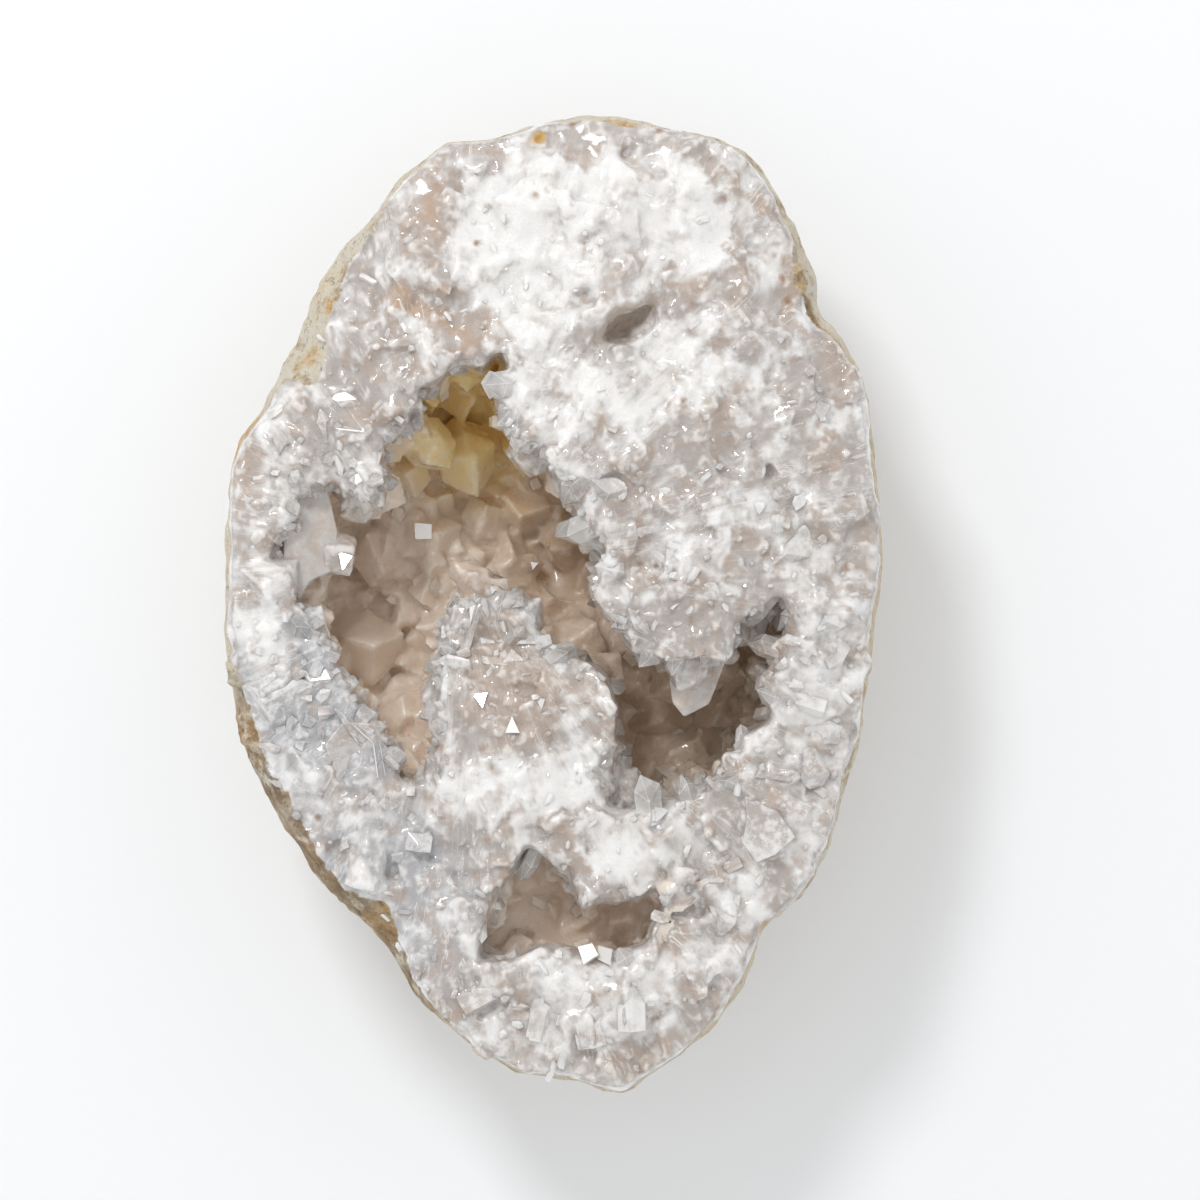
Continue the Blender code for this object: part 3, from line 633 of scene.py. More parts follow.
def speckle(base, place, scale, detail=2.0, roughness=0.5):
    """Cloudy noise from 0 to 1, with its scale in clouds per millimetre."""
    values = {"Vector": place, "Scale": scale / MM, "Detail": detail, "Roughness": roughness}
    return base.add("TexNoise", {}, values)


def corner_value(base, name):
    return base.add("Attribute", {"attribute_name": name}, {}, out="Fac")


def mixed(base, share, first, second):
    """A shader mixed from the first shader node to the second, by a wire."""
    mix = base.add("MixShader", {}, {0: share})
    node = mix.socket.node
    base.tree.links.new(first.outputs[0], node.inputs[1])
    base.tree.links.new(second.outputs[0], node.inputs[2])
    base.tree.links.new(mix.socket, base.tree.nodes["Material Output"].inputs["Surface"])


CREAM = srgb(255, 246, 226)
TAN = srgb(255, 237, 206)
OCHRE = srgb(240, 194, 118)
GREY_CRUST = srgb(222, 196, 160)
# Dark brown of the rind: partly its own colour, partly painted shadow
DARK_BROWN_AND_SHADE = srgb(166, 132, 92)
PALE_CHALK = srgb(255, 250, 236)
DARK_FLECK = srgb(120, 98, 74)
WHITE_QUARTZ = srgb(243, 242, 241)
GREY_WHITE = srgb(228, 228, 228)
BROWN_SPECK = srgb(150, 110, 70)
GREY_QUARTZ = srgb(184, 176, 171)
COOL_QUARTZ = srgb(180, 181, 185)
WARM_QUARTZ = srgb(190, 166, 146)
# Painted warm light that fills the depth of the hollows
PAINTED_HOLLOW_LIGHT = srgb(247, 233, 218)
BROWN_QUARTZ = srgb(208, 186, 162)
OCHRE_QUARTZ = srgb(255, 228, 168)
QUARTZ_SHINE_THROUGH = 1.0

# Places on the stone in millimetres with their radii
OCHRE_SPOTS = (
    ((-12.9, 35.1, 26), 0.9), ((-18.8, 25.0, 26), 0.8), ((-20.3, 20.7, 26), 1.0), ((-16.5, 29.0, 26), 0.5),
    ((-26.5, 14.5, 25), 3.0), ((-25.2, -10.5, 26), 2.4), ((-14.0, -26.9, 26), 2.4), ((5.5, 39.7, 27), 2.0),
    ((21.9, 24.2, 27), 1.3), ((17.5, -26.2, 27), 1.2), ((21.0, 27.2, 27), 1.2),
)
# The spots at the lower left also thicken the dark flecks there, partly as painted shadow
BROWN_SPOTS = (
    ((20.5, 27.5, 27), 3.0), ((24.5, -14.0, 26), 2.5), ((21.9, 24.2, 27), 1.2), ((-23.6, -15.2, 26), 2.2),
    ((-20.8, -20.2, 26), 2.4), ((-17.0, -25.0, 26), 1.8), ((-11.5, -31.8, 26), 2.2), ((-26.8, -7.0, 26), 1.6),
)
# Where the rind turns dark brown, mostly at the lower left: partly its own brown, partly painted shadow
DARK_BROWN_AND_SHADE_SPOTS = (
    ((-24.5, -13.0, 25), 6.0), ((-19.0, -22.0, 25), 6.0), ((-12.5, -30.0, 25), 5.0), ((21.6, 24.6, 27), 1.6),
)
SPECKS = (
    ((-1.6, 34.0), 0.22), ((-6.4, 30.1), 0.22), ((10.8, 17.0), 0.25), ((19.2, 29.0), 0.3), ((19.3, 28.3), 0.22),
    ((19.0, 27.3), 0.25), ((19.5, 25.4), 0.3), ((-19.7, -17.7), 0.22), ((24.5, 3.3), 0.3), ((5.3, -21.3), 0.2),
    ((1.6, 40.2), 0.3), ((8.8, 39.6), 0.3), ((-8.9, 38.3), 0.3), ((7.2, 3.4), 0.18), ((8.5, 3.2), 0.18), ((24.6, -0.4), 0.2),
)
COOL_SPOTS = (((-21, -10, 27), 8.0), ((-14, -24, 27), 7.0), ((-20, -3, 27), 5.0))
WARM_ZONES = (
    (((-13.2, 33.5), (-12.0, 36.0), (-9.7, 37.8), (-9.0, 36.0), (-8.6, 34.0), (-8.8, 31.0), (-9.6, 29.8), (-12.4, 29.4),
      (-12.6, 31.5)), 1.0),
    (((-17.0, 25.0), (-13.0, 26.6), (-9.5, 27.2), (-8.2, 26.2), (-6.8, 24.0), (-5.3, 22.0), (-5.4, 20.6), (-8.0, 20.6),
      (-9.5, 22.2), (-13.0, 22.9), (-14.5, 24.0), (-17.2, 23.4)), 1.0),
    (((0.8, 26.6), (1.2, 27.8), (3.0, 26.3), (5.0, 24.6), (4.0, 23.8), (2.4, 24.6)), 0.9),
    (((8.0, 38.3), (12.0, 38.8), (15.5, 38.0), (18.6, 33.6), (19.6, 31.0), (17.0, 31.4), (15.0, 33.0), (14.0, 36.0),
      (10.0, 36.8)), 0.7),
    (((17.0, 24.0), (19.0, 31.0), (20.5, 30.5), (21.8, 27.0), (21.6, 24.6), (19.8, 24.2), (18.0, 22.4)), 0.8),
    (((22.6, 23.0), (24.4, 22.2), (25.4, 20.0), (24.2, 18.6), (22.6, 21.0)), 1.0),
    (((10.6, 26.4), (11.0, 27.6), (12.1, 27.4), (11.5, 26.2)), 0.8),
    (((1.0, -38.8), (5.0, -40.5), (10.0, -38.5), (15.5, -33.0), (16.5, -30.0), (14.0, -31.5), (10.0, -35.5), (4.0, -37.0)), 0.6),
    (((-9.4, -1.0), (-3.4, 1.4), (-1.0, -2.4), (3.6, -6.0), (4.6, -9.0), (0.0, -11.5), (-7.5, -11.5), (-9.0, -4.5)), 0.5),
    (((14.5, -4.0), (17.0, -0.5), (20.0, 1.0), (18.4, -7.0), (16.0, -6.0)), 0.8),
)
GREY_ZONES = (
    (((-21.0, 17.5), (-15.0, 20.0), (-11.8, 17.5), (-12.5, 14.0), (-17.0, 12.5), (-21.5, 14.0)), 0.5),
    (((17.2, 16.5), (18.2, 20.6), (21.5, 20.2), (22.6, 17.0), (21.5, 14.4), (19.0, 14.8)), 0.9),
    (((15.6, 13.8), (19.0, 14.0), (19.2, 10.5), (17.0, 10.8)), 0.9),
    (((23.2, 9.6), (24.0, 12.0), (26.2, 13.0), (26.6, 9.5), (25.0, 8.2)), 1.0),
    (((-22.5, -9.0), (-18.0, -4.0), (-15.5, -9.5), (-13.0, -14.5), (-17.5, -15.4), (-22.5, -14.0)), 0.7),
    (((-12.0, -26.5), (-12.0, -18.5), (-4.5, -20.5), (-6.0, -27.0), (-9.5, -29.0)), 0.6),
    (((15.8, -16.0), (18.6, -14.4), (20.2, -16.0), (18.4, -19.6), (16.0, -18.6)), 0.9),
    (((11.0, -24.2), (12.5, -21.6), (16.6, -20.0), (14.4, -23.2), (12.0, -27.5), (8.5, -27.0)), 1.0),
    (((-12.0, -30.5), (-11.5, -27.5), (-8.0, -29.0), (-7.0, -32.5), (-9.5, -33.5)), 1.0),
    (((5.5, 0.2), (14.5, 0.2), (14.0, -4.5), (11.0, -6.0), (7.0, -4.5)), 0.9),
    (((13.5, 28.2), (13.2, 30.4), (17.2, 30.2), (16.6, 28.4)), 0.7),
    (((3.0, 8.0), (3.5, 14.0), (6.5, 14.0), (8.5, 10.0), (7.5, 6.5)), 0.5),
    (((-5.5, 33.0), (-6.0, 35.5), (-4.2, 35.0), (-3.6, 32.4)), 0.6),
)
WHITE_ZONES = (
    (((-8.4, 31.0), (-7.8, 36.0), (-4.5, 38.3), (2.0, 39.0), (12.0, 36.5), (14.0, 31.0), (12.5, 26.0), (9.0, 26.0),
      (2.0, 21.0), (-2.5, 18.5), (-5.0, 22.5), (-7.5, 25.5), (-10.5, 28.0), (-11.5, 29.6)), 1.0),
    (((-3.5, 19.0), (4.0, 21.0), (10.0, 24.5), (14.5, 20.0), (14.0, 14.0), (6.0, 14.0), (0.0, 13.0), (-4.3, 15.4)), 1.0),
    (((-9.5, -13.0), (-5.0, -12.0), (3.5, -11.5), (4.0, -16.5), (0.0, -19.0), (-6.0, -18.5), (-9.0, -16.5)), 1.0),
    (((6.0, -17.0), (12.0, -17.0), (15.0, -19.5), (11.0, -23.0), (4.5, -23.5), (0.5, -20.5)), 0.9),
    (((-26.8, 2.0), (-23.5, 2.5), (-22.2, -2.5), (-23.5, -8.5), (-26.0, -6.8)), 0.9),
    (((-17.0, 28.5), (-14.0, 30.6), (-11.6, 29.4), (-10.0, 27.6), (-13.5, 26.9)), 0.7),
    (((-16.8, 22.6), (-12.5, 22.6), (-9.2, 22.0), (-9.8, 18.4), (-11.8, 18.4), (-12.2, 20.0), (-16.8, 20.2)), 0.7),
    (((20.0, -3.0), (25.5, -6.0), (24.5, -11.0), (19.0, -11.5), (18.8, -7.5)), 0.8),
    (((-6.0, -33.5), (-2.5, -36.0), (2.5, -37.5), (2.0, -39.0), (-3.0, -37.8), (-7.5, -35.4)), 0.9),
    (((14.0, -24.0), (17.5, -22.0), (20.5, -25.0), (17.0, -26.3)), 0.7),
    (((4.0, 6.0), (9.0, 8.0), (16.0, 6.0), (16.0, 1.5), (6.0, 1.5)), 0.5),
    (((-9.0, -31.5), (-4.0, -29.0), (4.0, -30.0), (9.5, -28.5), (15.0, -29.0), (9.0, -36.5), (0.0, -39.0), (-7.0, -36.0)), 0.5),
)
ZONE_BORDER = 1.5
OCHRE_DEPTH = (((-6.4, 17.5, 17.0), 8.5),)
BROWN_DEPTH = (((8.0, -7.0, 14.0), 9.0, 0.6), ((1.0, 4.5, 15.0), 6.5, 1.0), ((2.0, -26.5, 19.0), 7.0, 0.35))


# Each place of the stone belongs to the same part of it as the nearest corner of the skin
skin_points = KDTree(len(skin))
for index, corner in enumerate(skin):
    skin_points.insert(corner, index)
skin_points.balance()


def nearest_on_skin(places):
    return np.array([skin_points.find(place)[1] for place in places])


def clouds(places, scale, octaves, shift):
    """Cloudy noise from about 0 to 1 at each place, with its scale in clouds per millimetre."""
    move = Vector((shift, 2 * shift, -shift))
    return np.array([0.5 + 0.5 * noise.fractal(Vector(place) * scale + move, 0.7, 2.1, octaves) for place in places])


def inside(places, spots, softness):
    """1 inside any of the spots, 0 outside them, with a soft border."""
    most = np.zeros(len(places))
    for middle, radius in spots:
        away = np.linalg.norm(places - np.array(middle), axis=1) / radius
        most = np.maximum(most, np.clip((1 + softness - away) / (2 * softness), 0, 1))
    return most * most * (3 - 2 * most)


def most_speck(places):
    """1 in the small brown specks on the face, seen from above."""
    most = np.zeros(len(places))
    for middle, radius in SPECKS:
        away = np.hypot(places[:, 0] - middle[0], places[:, 1] - middle[1])
        most = np.maximum(most, np.clip(1.6 - away / radius, 0, 1))
    return most * (places[:, 2] > LIP_LEVEL)


def in_zones(places, zones):
    """How far each place belongs to any of the zones of the face, with a soft border."""
    most = np.zeros(len(places))
    for outline, strength in zones:
        low, high = np.min(outline, axis=0), np.max(outline, axis=0)
        held = np.nonzero(((places[:, :2] > low) & (places[:, :2] < high)).all(axis=1))[0]
        most[held] = np.maximum(most[held], strength * np.clip(depth_in(places[held], outline) / ZONE_BORDER, 0, 1))
    return most


def stone_values(places):
    """Whiteness, warmth, coolness, depth and ochre of the quartz at each place."""
    bend = np.stack([clouds(places, 0.3, 3, shift) - 0.5 for shift in (3, 17, 31)], axis=1)
    bent = places + 3.0 * bend
    near = places + 4.0 * bend
    white = 0.5 * in_zones(near, WHITE_ZONES) - 0.6 * in_zones(near, GREY_ZONES) + clouds(places, 0.22, 5, 5) - 0.5
    white += 1.1 * (clouds(bent, 0.6, 5, 11) - 0.5)
    in_white = in_zones(near, WHITE_ZONES)
    white = 0.2 + (white - 0.2) * (1 - 0.4 * in_white) + 0.1 * in_white
    warm = 0.5 * np.clip((clouds(bent, 0.35, 4, 23) - 0.55) / 0.2, 0, 1)
    warm = np.maximum(warm, in_zones(near, WARM_ZONES))
    nearest = nearest_on_skin(places)
    # Depth in the hollows, and at least some depth under overhangs, which the quartz colour turns into painted warm
    # light
    deep = np.where(in_hollow[nearest], np.clip((FACE_LEVEL + 0.5 - places[:, 2]) / 14, 0, 1), 0)
    deep = np.where(covered[nearest] & in_hollow[nearest], np.maximum(deep, 0.4), deep)
    brown = np.zeros(len(places))
    for middle, radius, share in BROWN_DEPTH:
        brown = np.maximum(brown, share * inside(bent, ((middle, radius),), 0.6))
    return {
        "white": np.clip(white + 0.3 - 0.75 * warm, 0, 1),
        "warm": warm,
        "cool": 0.9 * inside(bent, COOL_SPOTS, 0.6),
        "speck": most_speck(places),
        "deep": deep,
        "brown": np.maximum(brown * np.clip(deep * 4, 0, 1), in_pit["brown"][nearest]),
        "ochre": np.maximum(inside(bent, OCHRE_DEPTH, 0.5) * np.clip(deep * 4, 0, 1), in_pit["ochre"][nearest]),
    }


def veils_of(base, scale, detail, roughness, bend):
    """Feathery white veils inside the quartz, drawn out along the way in which it grew."""
    grain = base.add("Attribute", {"attribute_name": "grain"}, {}, out="Vector")
    values = {"Vector": grain, "Scale": scale, "Detail": detail, "Roughness": roughness, "Distortion": bend}
    return base.add("TexNoise", {}, values)


def frost_lines(base, scale, bend):
    """Thin white feather lines: where the veils pass through their middle value."""
    away = veils_of(base, scale, 3.0, 0.6, bend) - 0.5
    return 1 - away.maths("ABSOLUTE", away, 0.0).between(0.0, 0.022)


def quartz_colour(base, place):
    """White quartz with grey, cool and warm clouds and white veils, browner in the depth of the hollows, with painted
    warm light there.
    """
    broad = veils_of(base, 0.34, 3.0, 0.62, 1.2)
    fine = veils_of(base, 1.3, 3.0, 0.68, 0.7)
    # Deep in the hollows and under overhangs the white fades and the colour turns to a warm cream: painted warm light,
    # for light shining in through the stone
    deep = corner_value(base, "deep").between(0.0, 0.5)
    warm = corner_value(base, "warm")
    veils = (1.3 * (broad - 0.5) + 0.75 * (fine - 0.5)) * (1 - 0.5 * warm)
    white = (corner_value(base, "white") + veils).between(-0.1, 0.95) * (1 - 0.55 * deep)
    lines = frost_lines(base, 1.5, 0.9)
    white = white.most(0.8 * lines * broad.between(0.42, 0.56) * (1 - 0.7 * deep))
    shade = corner_value(base, "cool").paint(GREY_QUARTZ, COOL_QUARTZ)
    shade = warm.paint(shade, WARM_QUARTZ)
    colour = white.paint(shade, WHITE_QUARTZ)
    # Painted warm light in the hollows
    colour = (0.9 * deep).paint(colour, PAINTED_HOLLOW_LIGHT)
    colour = (0.9 * corner_value(base, "brown")).paint(colour, BROWN_QUARTZ)
    colour = corner_value(base, "ochre").paint(colour, OCHRE_QUARTZ)
    return (0.85 * corner_value(base, "speck")).paint(colour, BROWN_SPECK), fine


def spot(base, place, middle, radius, softness=0.5):
    """1 inside a ball round a place of the stone, 0 outside it."""
    middle = tuple(part * MM for part in middle)
    away = base.add("VectorMath", {"operation": "DISTANCE"}, {0: place, 1: middle}, out="Value")
    return 1 - away.between(radius * (1 - softness) * MM, radius * (1 + softness) * MM)


def quartz_shader(base, place, shader):
    colour, fine = quartz_colour(base, place)
    ridge = corner_value(base, "ridge")
    # Painted highlight: corners that stand out from their neighbours are lightened towards white, less so deep in the
    # hollows
    bright = 0.5 * ridge.between(0.15, 0.9) * (1 - 0.6 * corner_value(base, "deep").between(0.05, 0.5))
    colour = bright.paint(colour, srgb(252, 251, 250))
    base.tree.links.new(colour.socket, shader.inputs["Base Color"])
    rough = 0.12 + 0.4 * fine
    base.tree.links.new(rough.socket, shader.inputs["Roughness"])
    relief = speckle(base, place, 2.1, 3.0, 0.75)
    bumped = base.add("Bump", {}, {"Height": relief, "Strength": 0.5, "Distance": 0.3 * MM})
    base.tree.links.new(bumped.socket, shader.inputs["Normal"])
    shader.inputs["IOR"].default_value = 1.544
    shader.inputs["Subsurface Weight"].default_value = 0.8
    shader.inputs["Subsurface Radius"].default_value = (1.0, 0.94, 0.88)
    shader.inputs["Subsurface Scale"].default_value = QUARTZ_SHINE_THROUGH * MM
    shader.inputs["Coat Weight"].default_value = 0.7
    shader.inputs["Coat Roughness"].default_value = 0.05
    shader.inputs["Coat IOR"].default_value = 1.544


def quartz_material():
    material, tree, shader, base, place = new_material("milky_quartz")
    quartz_shader(base, place, shader)
    return material


def rind_material():
    material, tree, shader, base, place = new_material("rind_and_quartz")
    quartz_shader(base, place, shader)
    chalk = tree.nodes.new("ShaderNodeBsdfPrincipled")
    ragged = speckle(base, place, 0.9, 4.0, 0.6) - 0.5
    share = (corner_value(base, "rind") + 1.3 * ragged).between(-0.12, 0.12)
    bands = speckle(base, place, 0.14, 5.0, 0.6)
    patches = speckle(base, place, 0.45, 6.0, 0.68)
    grit = speckle(base, place, 1.9, 6.0, 0.72)
    crust = bands.between(0.40, 0.60).paint(CREAM, TAN)
    crust = patches.between(0.50, 0.62).paint(crust, GREY_CRUST)
    ochre = speckle(base, place, 0.21, 4.0, 0.6).between(0.62, 0.72)
    for middle, radius in OCHRE_SPOTS:
        ochre = ochre.most(spot(base, place, middle, radius))
    crust = (0.8 * ochre * patches.between(0.36, 0.54)).paint(crust, OCHRE)
    crust = (0.6 * (1 - grit).between(0.46, 0.62)).paint(crust, PALE_CHALK)
    brown = patches.between(0.60, 0.68)
    for middle, radius in BROWN_SPOTS:
        brown = brown.most(spot(base, place, middle, radius) * speckle(base, place, 0.8).between(0.5, 0.6))
    # Painted shadow over the rind's own brown: the lower left of the rind darker, its dark flecks thicker
    dark_brown_and_shade = spot(base, place, *DARK_BROWN_AND_SHADE_SPOTS[0])
    for middle, radius in DARK_BROWN_AND_SHADE_SPOTS[1:]:
        dark_brown_and_shade = dark_brown_and_shade.most(spot(base, place, middle, radius))
    crust = (dark_brown_and_shade * patches.between(0.34, 0.52) * 0.8).paint(crust, DARK_BROWN_AND_SHADE)
    flecks = grit.between(0.58, 0.66)
    crust = ((0.6 + 0.3 * dark_brown_and_shade) * flecks.most(brown * 0.7)).paint(crust, DARK_FLECK)
    tree.links.new(crust.socket, chalk.inputs["Base Color"])
    chalk.inputs["Roughness"].default_value = 0.85
    pores = speckle(base, place, 1.1, 3.0, 0.6).between(0.60, 0.75)
    height = 1.2 * grit - 1.0 * pores + 1.2 * patches
    bumped = base.add("Bump", {}, {"Height": height, "Strength": 1.0, "Distance": 0.6 * MM})
    tree.links.new(bumped.socket, chalk.inputs["Normal"])
    mixed(base, share, shader, chalk)
    return material


def mesh_of(name, corners, faces):
    mesh = bpy.data.meshes.new(name)
    mesh.from_pydata((corners * MM).tolist(), [], faces.tolist())
    return mesh


def give(mesh, name, values, domain="POINT"):
    """A value, or a row of three values, at each corner of a mesh."""
    values = np.asarray(values, dtype=np.float32)
    kind, field = ("FLOAT", "value") if values.ndim == 1 else ("FLOAT_VECTOR", "vector")
    mesh.attributes.new(name, kind, domain).data.foreach_set(field, values.ravel())


def ready(piece, material):
    piece.data.materials.append(material)
    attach(piece, "root")
    return piece


parts = [(skin, skin_faces)]
for crystals in (large_crystals, floor_crystals, small_crystals, columns):
    parts.append(crystal_arrays(crystals)[:2])
starts = np.cumsum([0] + [len(corners) for corners, _ in parts])
merged = mesh_of("merged", np.concatenate([corners for corners, _ in parts]),
                 np.concatenate([faces + start for (_, faces), start in zip(parts, starts)]))
body, body_faces = one_body(merged, BODY_GRAIN, BODY_MERGING)
body_edges = edges_of(body_faces)
body_normals = corner_normals(body, body_faces)
nearest = nearest_on_skin(body)
body = softened(body, body_edges, np.where(in_hollow[nearest], 0.25, 0.5), BODY_SOFTENING)
body = body + body_normals * lumps(body, BODY_LUMPS)[:, None]
body[:, 2] = np.clip(body[:, 2], 0, cad_box[1].z / MM + 0.6)
body_rind = rind_like[nearest]
body_from_edge = edge_distance(body)
stand_out = ((body - neighbour_middles(body, body_edges)) * body_normals).sum(axis=1)
body_values = stone_values(body)
turn = np.degrees(np.arctan2(body[:, 1], body[:, 0])) % 360
rind_width = np.interp(turn, [row[0] for row in RIND_WIDTH], [row[1] for row in RIND_WIDTH])
body_values["rind"] = rind_width - body_from_edge
body_values["rind"] = np.maximum(body_values["rind"], np.where(body_rind, RIND_TOP - 1.0 - body[:, 2], -9))
body_values["rind"][in_hollow[nearest]] = -9
# How far each corner stands out, for the highlight painted on ridges
body_values["ridge"] = np.clip(stand_out / 0.05, 0, 1)
grown_way = body[:, :2] - np.array(GRAIN_MIDDLE)
grown_far = np.linalg.norm(grown_way, axis=1)
body_values["grain"] = np.column_stack([GRAIN_REACH * unit(grown_way), 0.3 * grown_far + 0.7 * body[:, 2]])


def body_piece(name, wanted, sharp, material):
    """The part of the body whose faces have a wanted first corner, as a piece of its own."""
    kept = body_faces[wanted[body_faces[:, 0]]]
    used, renumbered = np.unique(kept, return_inverse=True)
    mesh = mesh_of(name, body[used], renumbered.reshape(-1, 3))
    for title, values in body_values.items():
        give(mesh, title, values[used])
    mesh.shade_smooth()
    mesh.set_sharp_from_angle(angle=math.radians(sharp))
    return ready(new_object(name, mesh), material)


RIND_MATERIAL = rind_material()
QUARTZ_MATERIAL = quartz_material()
body_hollow = in_hollow[nearest]
body_small = in_small_hollow[nearest]
rind_piece = body_piece("rind", body_rind, 60, RIND_MATERIAL)
face_piece = body_piece("broken_quartz", ~body_rind & ~body_hollow, 60, RIND_MATERIAL)
large_piece = body_piece("large_hollow_crystals", body_hollow & ~body_small, 35, QUARTZ_MATERIAL)
small_piece = body_piece("small_hollow_crystals", body_small, 35, QUARTZ_MATERIAL)
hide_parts("geode_shell")
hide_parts("geode_shell")
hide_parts("crystal_crust")
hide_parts("small_crystal_crust")


# Small crystals that stand out crisply from the broken quartz and from the linings: milky at the root, clear at
# the point, with facets tilted every way, so that a few of them catch the light.
CRISP_FACE = {"spacing": 1.3, "radius": (0.25, 0.6), "length": (0.9, 1.8), "sunk": 0.68, "tilt": 0.9, "reach": 6.5}
CRISP_HOLLOW = {"spacing": 3.0, "radius": (0.5, 1.2), "length": (1.4, 2.8), "sunk": 0.55, "tilt": 0.8}
LIP_CRYSTALS = (
    {"spacing": 2.0, "radius": (0.7, 1.3), "length": (1.8, 2.8), "sunk": 0.74, "tilt": 0.5},
    {"spacing": 1.1, "radius": (0.3, 0.6), "length": (1.0, 1.7), "sunk": 0.68, "tilt": 0.8},
)
BEVEL = 0.03


def edge_values(count):
    """How far each corner of a crystal's triangles lies from the facet's edges, for the highlight painted along them.
    """
    rows = []
    for _ in range(6):
        rows += [(0, 1, 0), (1, 1, 0), (1, 0, 1)]
        rows += [(0, 0, 1), (0, 1, 1), (1, 0, 0)]
        rows += [(1, 0, 0), (0, 1, 0), (0, 0, 1)]
    rows += [(1, 1, 1)] * 12
    return np.tile(np.array(rows, dtype=np.float32), (count, 1))


def crystal_material(name, softness, clear_from, clear_to, clear_most, painted_edge_highlight):
    """Quartz crystals: milky quartz mixed with clear quartz towards the point."""
    material, tree, shader, base, place = new_material(name)
    colour, fine = quartz_colour(base, place)
    edges = base.add("Attribute", {"attribute_name": "edges"}, {}, out="Vector")
    parts = base.add("SeparateXYZ", {}, {"Vector": edges})
    first, second, third = (Wire(tree, parts.socket.node.outputs[axis]) for axis in range(3))
    rim = 1 - first.least(second).least(third).between(0.02, 0.16)
    grain = base.add("Attribute", {"attribute_name": "grain"}, {}, out="Vector")
    veils = base.add("TexNoise", {}, {"Vector": grain, "Scale": 1.1, "Detail": 4.0, "Roughness": 0.62})
    veiled = (1 - veils).between(0.40, 0.66) * (1 - 0.7 * corner_value(base, "deep").between(0.05, 0.3))
    colour = (0.85 * veiled).paint(colour, WHITE_QUARTZ)
    # Painted highlight along the facet edges and bevels
    colour = (painted_edge_highlight * rim).paint(colour, WHITE_QUARTZ)
    tree.links.new(colour.socket, shader.inputs["Base Color"])
    soft = base.add("Attribute", {"attribute_name": "soft"}, {}, out="Vector")
    soft = base.add("VectorTransform", {"vector_type": "NORMAL"}, {"Vector": soft})
    plain = base.add("NewGeometry", {}, {}, out="Normal")
    leaned = base.add("Mix", {"data_type": "VECTOR"}, {0: softness, 4: plain, 5: soft}, out=1)
    leaned = base.add("VectorMath", {"operation": "NORMALIZE"}, {0: leaned})
    bumped = base.add("Bump", {}, {"Height": veils, "Strength": 0.2, "Distance": 0.3 * MM, "Normal": leaned})
    tree.links.new(bumped.socket, shader.inputs["Normal"])
    shader.inputs["Roughness"].default_value = 0.3
    shader.inputs["IOR"].default_value = 1.544
    shader.inputs["Coat Weight"].default_value = 1.0
    shader.inputs["Coat Roughness"].default_value = 0.05
    shader.inputs["Coat IOR"].default_value = 1.544
    clear = tree.nodes.new("ShaderNodeBsdfPrincipled")
    clear.inputs["Roughness"].default_value = 0.02
    clear.inputs["IOR"].default_value = 1.544
    clear.inputs["Transmission Weight"].default_value = 1.0
    clear.inputs["Base Color"].default_value = (0.99, 0.978, 0.962, 1)
    clearness = (corner_value(base, "along") - 0.9 * (veils - 0.5)).between(clear_from, clear_to)
    mixed(base, clear_most * clearness * (1 - 0.6 * rim), shader, clear)
    return material


def crystal_piece(name, crystals, material):
    """A piece of many crisp crystals, with the colours of the stone at their place."""
    corners, faces, grain = crystal_arrays(crystals)
    corners[:, 2] = np.clip(corners[:, 2], 0.5, cad_box[1].z / MM + 0.6)
    count = len(crystals[0])
    mesh = mesh_of(name, corners, faces)
    for title, values in stone_values(corners).items():
        give(mesh, title, values)
    give(mesh, "along", np.tile([0.0] * 6 + [0.75] * 6 + [1.0], count))
    give(mesh, "soft", np.repeat(crystals[4], 13, axis=0))
    give(mesh, "grain", grain)
    give(mesh, "edges", edge_values(count), "CORNER")
    return ready(new_object(name, mesh), material)


CRISP_CRYSTAL = crystal_material("crisp_crystal", 0.5, 0.5, 1.2, 0.3, 0.12)
crisp = spread(middles, area * np.exp(-to_hollow / CRISP_FACE["reach"]), CRISP_FACE["spacing"])
lengths = chance.uniform(*CRISP_FACE["length"], len(crisp)) * (0.7 + 0.5 * coarse[crisp])
axes = unit(out[crisp] + 0.7 * inward[crisp] + CRISP_FACE["tilt"] * chance.uniform(-1, 1, (len(crisp), 3)))
roots = middles[crisp] - axes * (CRISP_FACE["sunk"] * lengths)[:, None]
radii = chance.uniform(*CRISP_FACE["radius"], len(crisp)) * (0.6 + 0.6 * coarse[crisp])
crisp_face = clear_of_pits([roots, axes, radii, lengths, out[crisp]])
crystal_piece("crisp_face_crystals", crisp_face, CRISP_CRYSTAL)
crisp_hollow = grown(surface_of(in_hollow), (CRISP_HOLLOW,))
crystal_piece("crisp_hollow_crystals", crisp_hollow, CRISP_CRYSTAL)

face_crystals[0] = face_crystals[0] + 0.12 * face_crystals[4]

on_lip = ~rind_like & (skin[:, 2] > LIP_LEVEL) & (normals[:, 2] < 0.75) & (from_edge > 3.0) & ~covered
lip_crystals = clear_of_pits(grown(surface_of(on_lip), LIP_CRYSTALS))


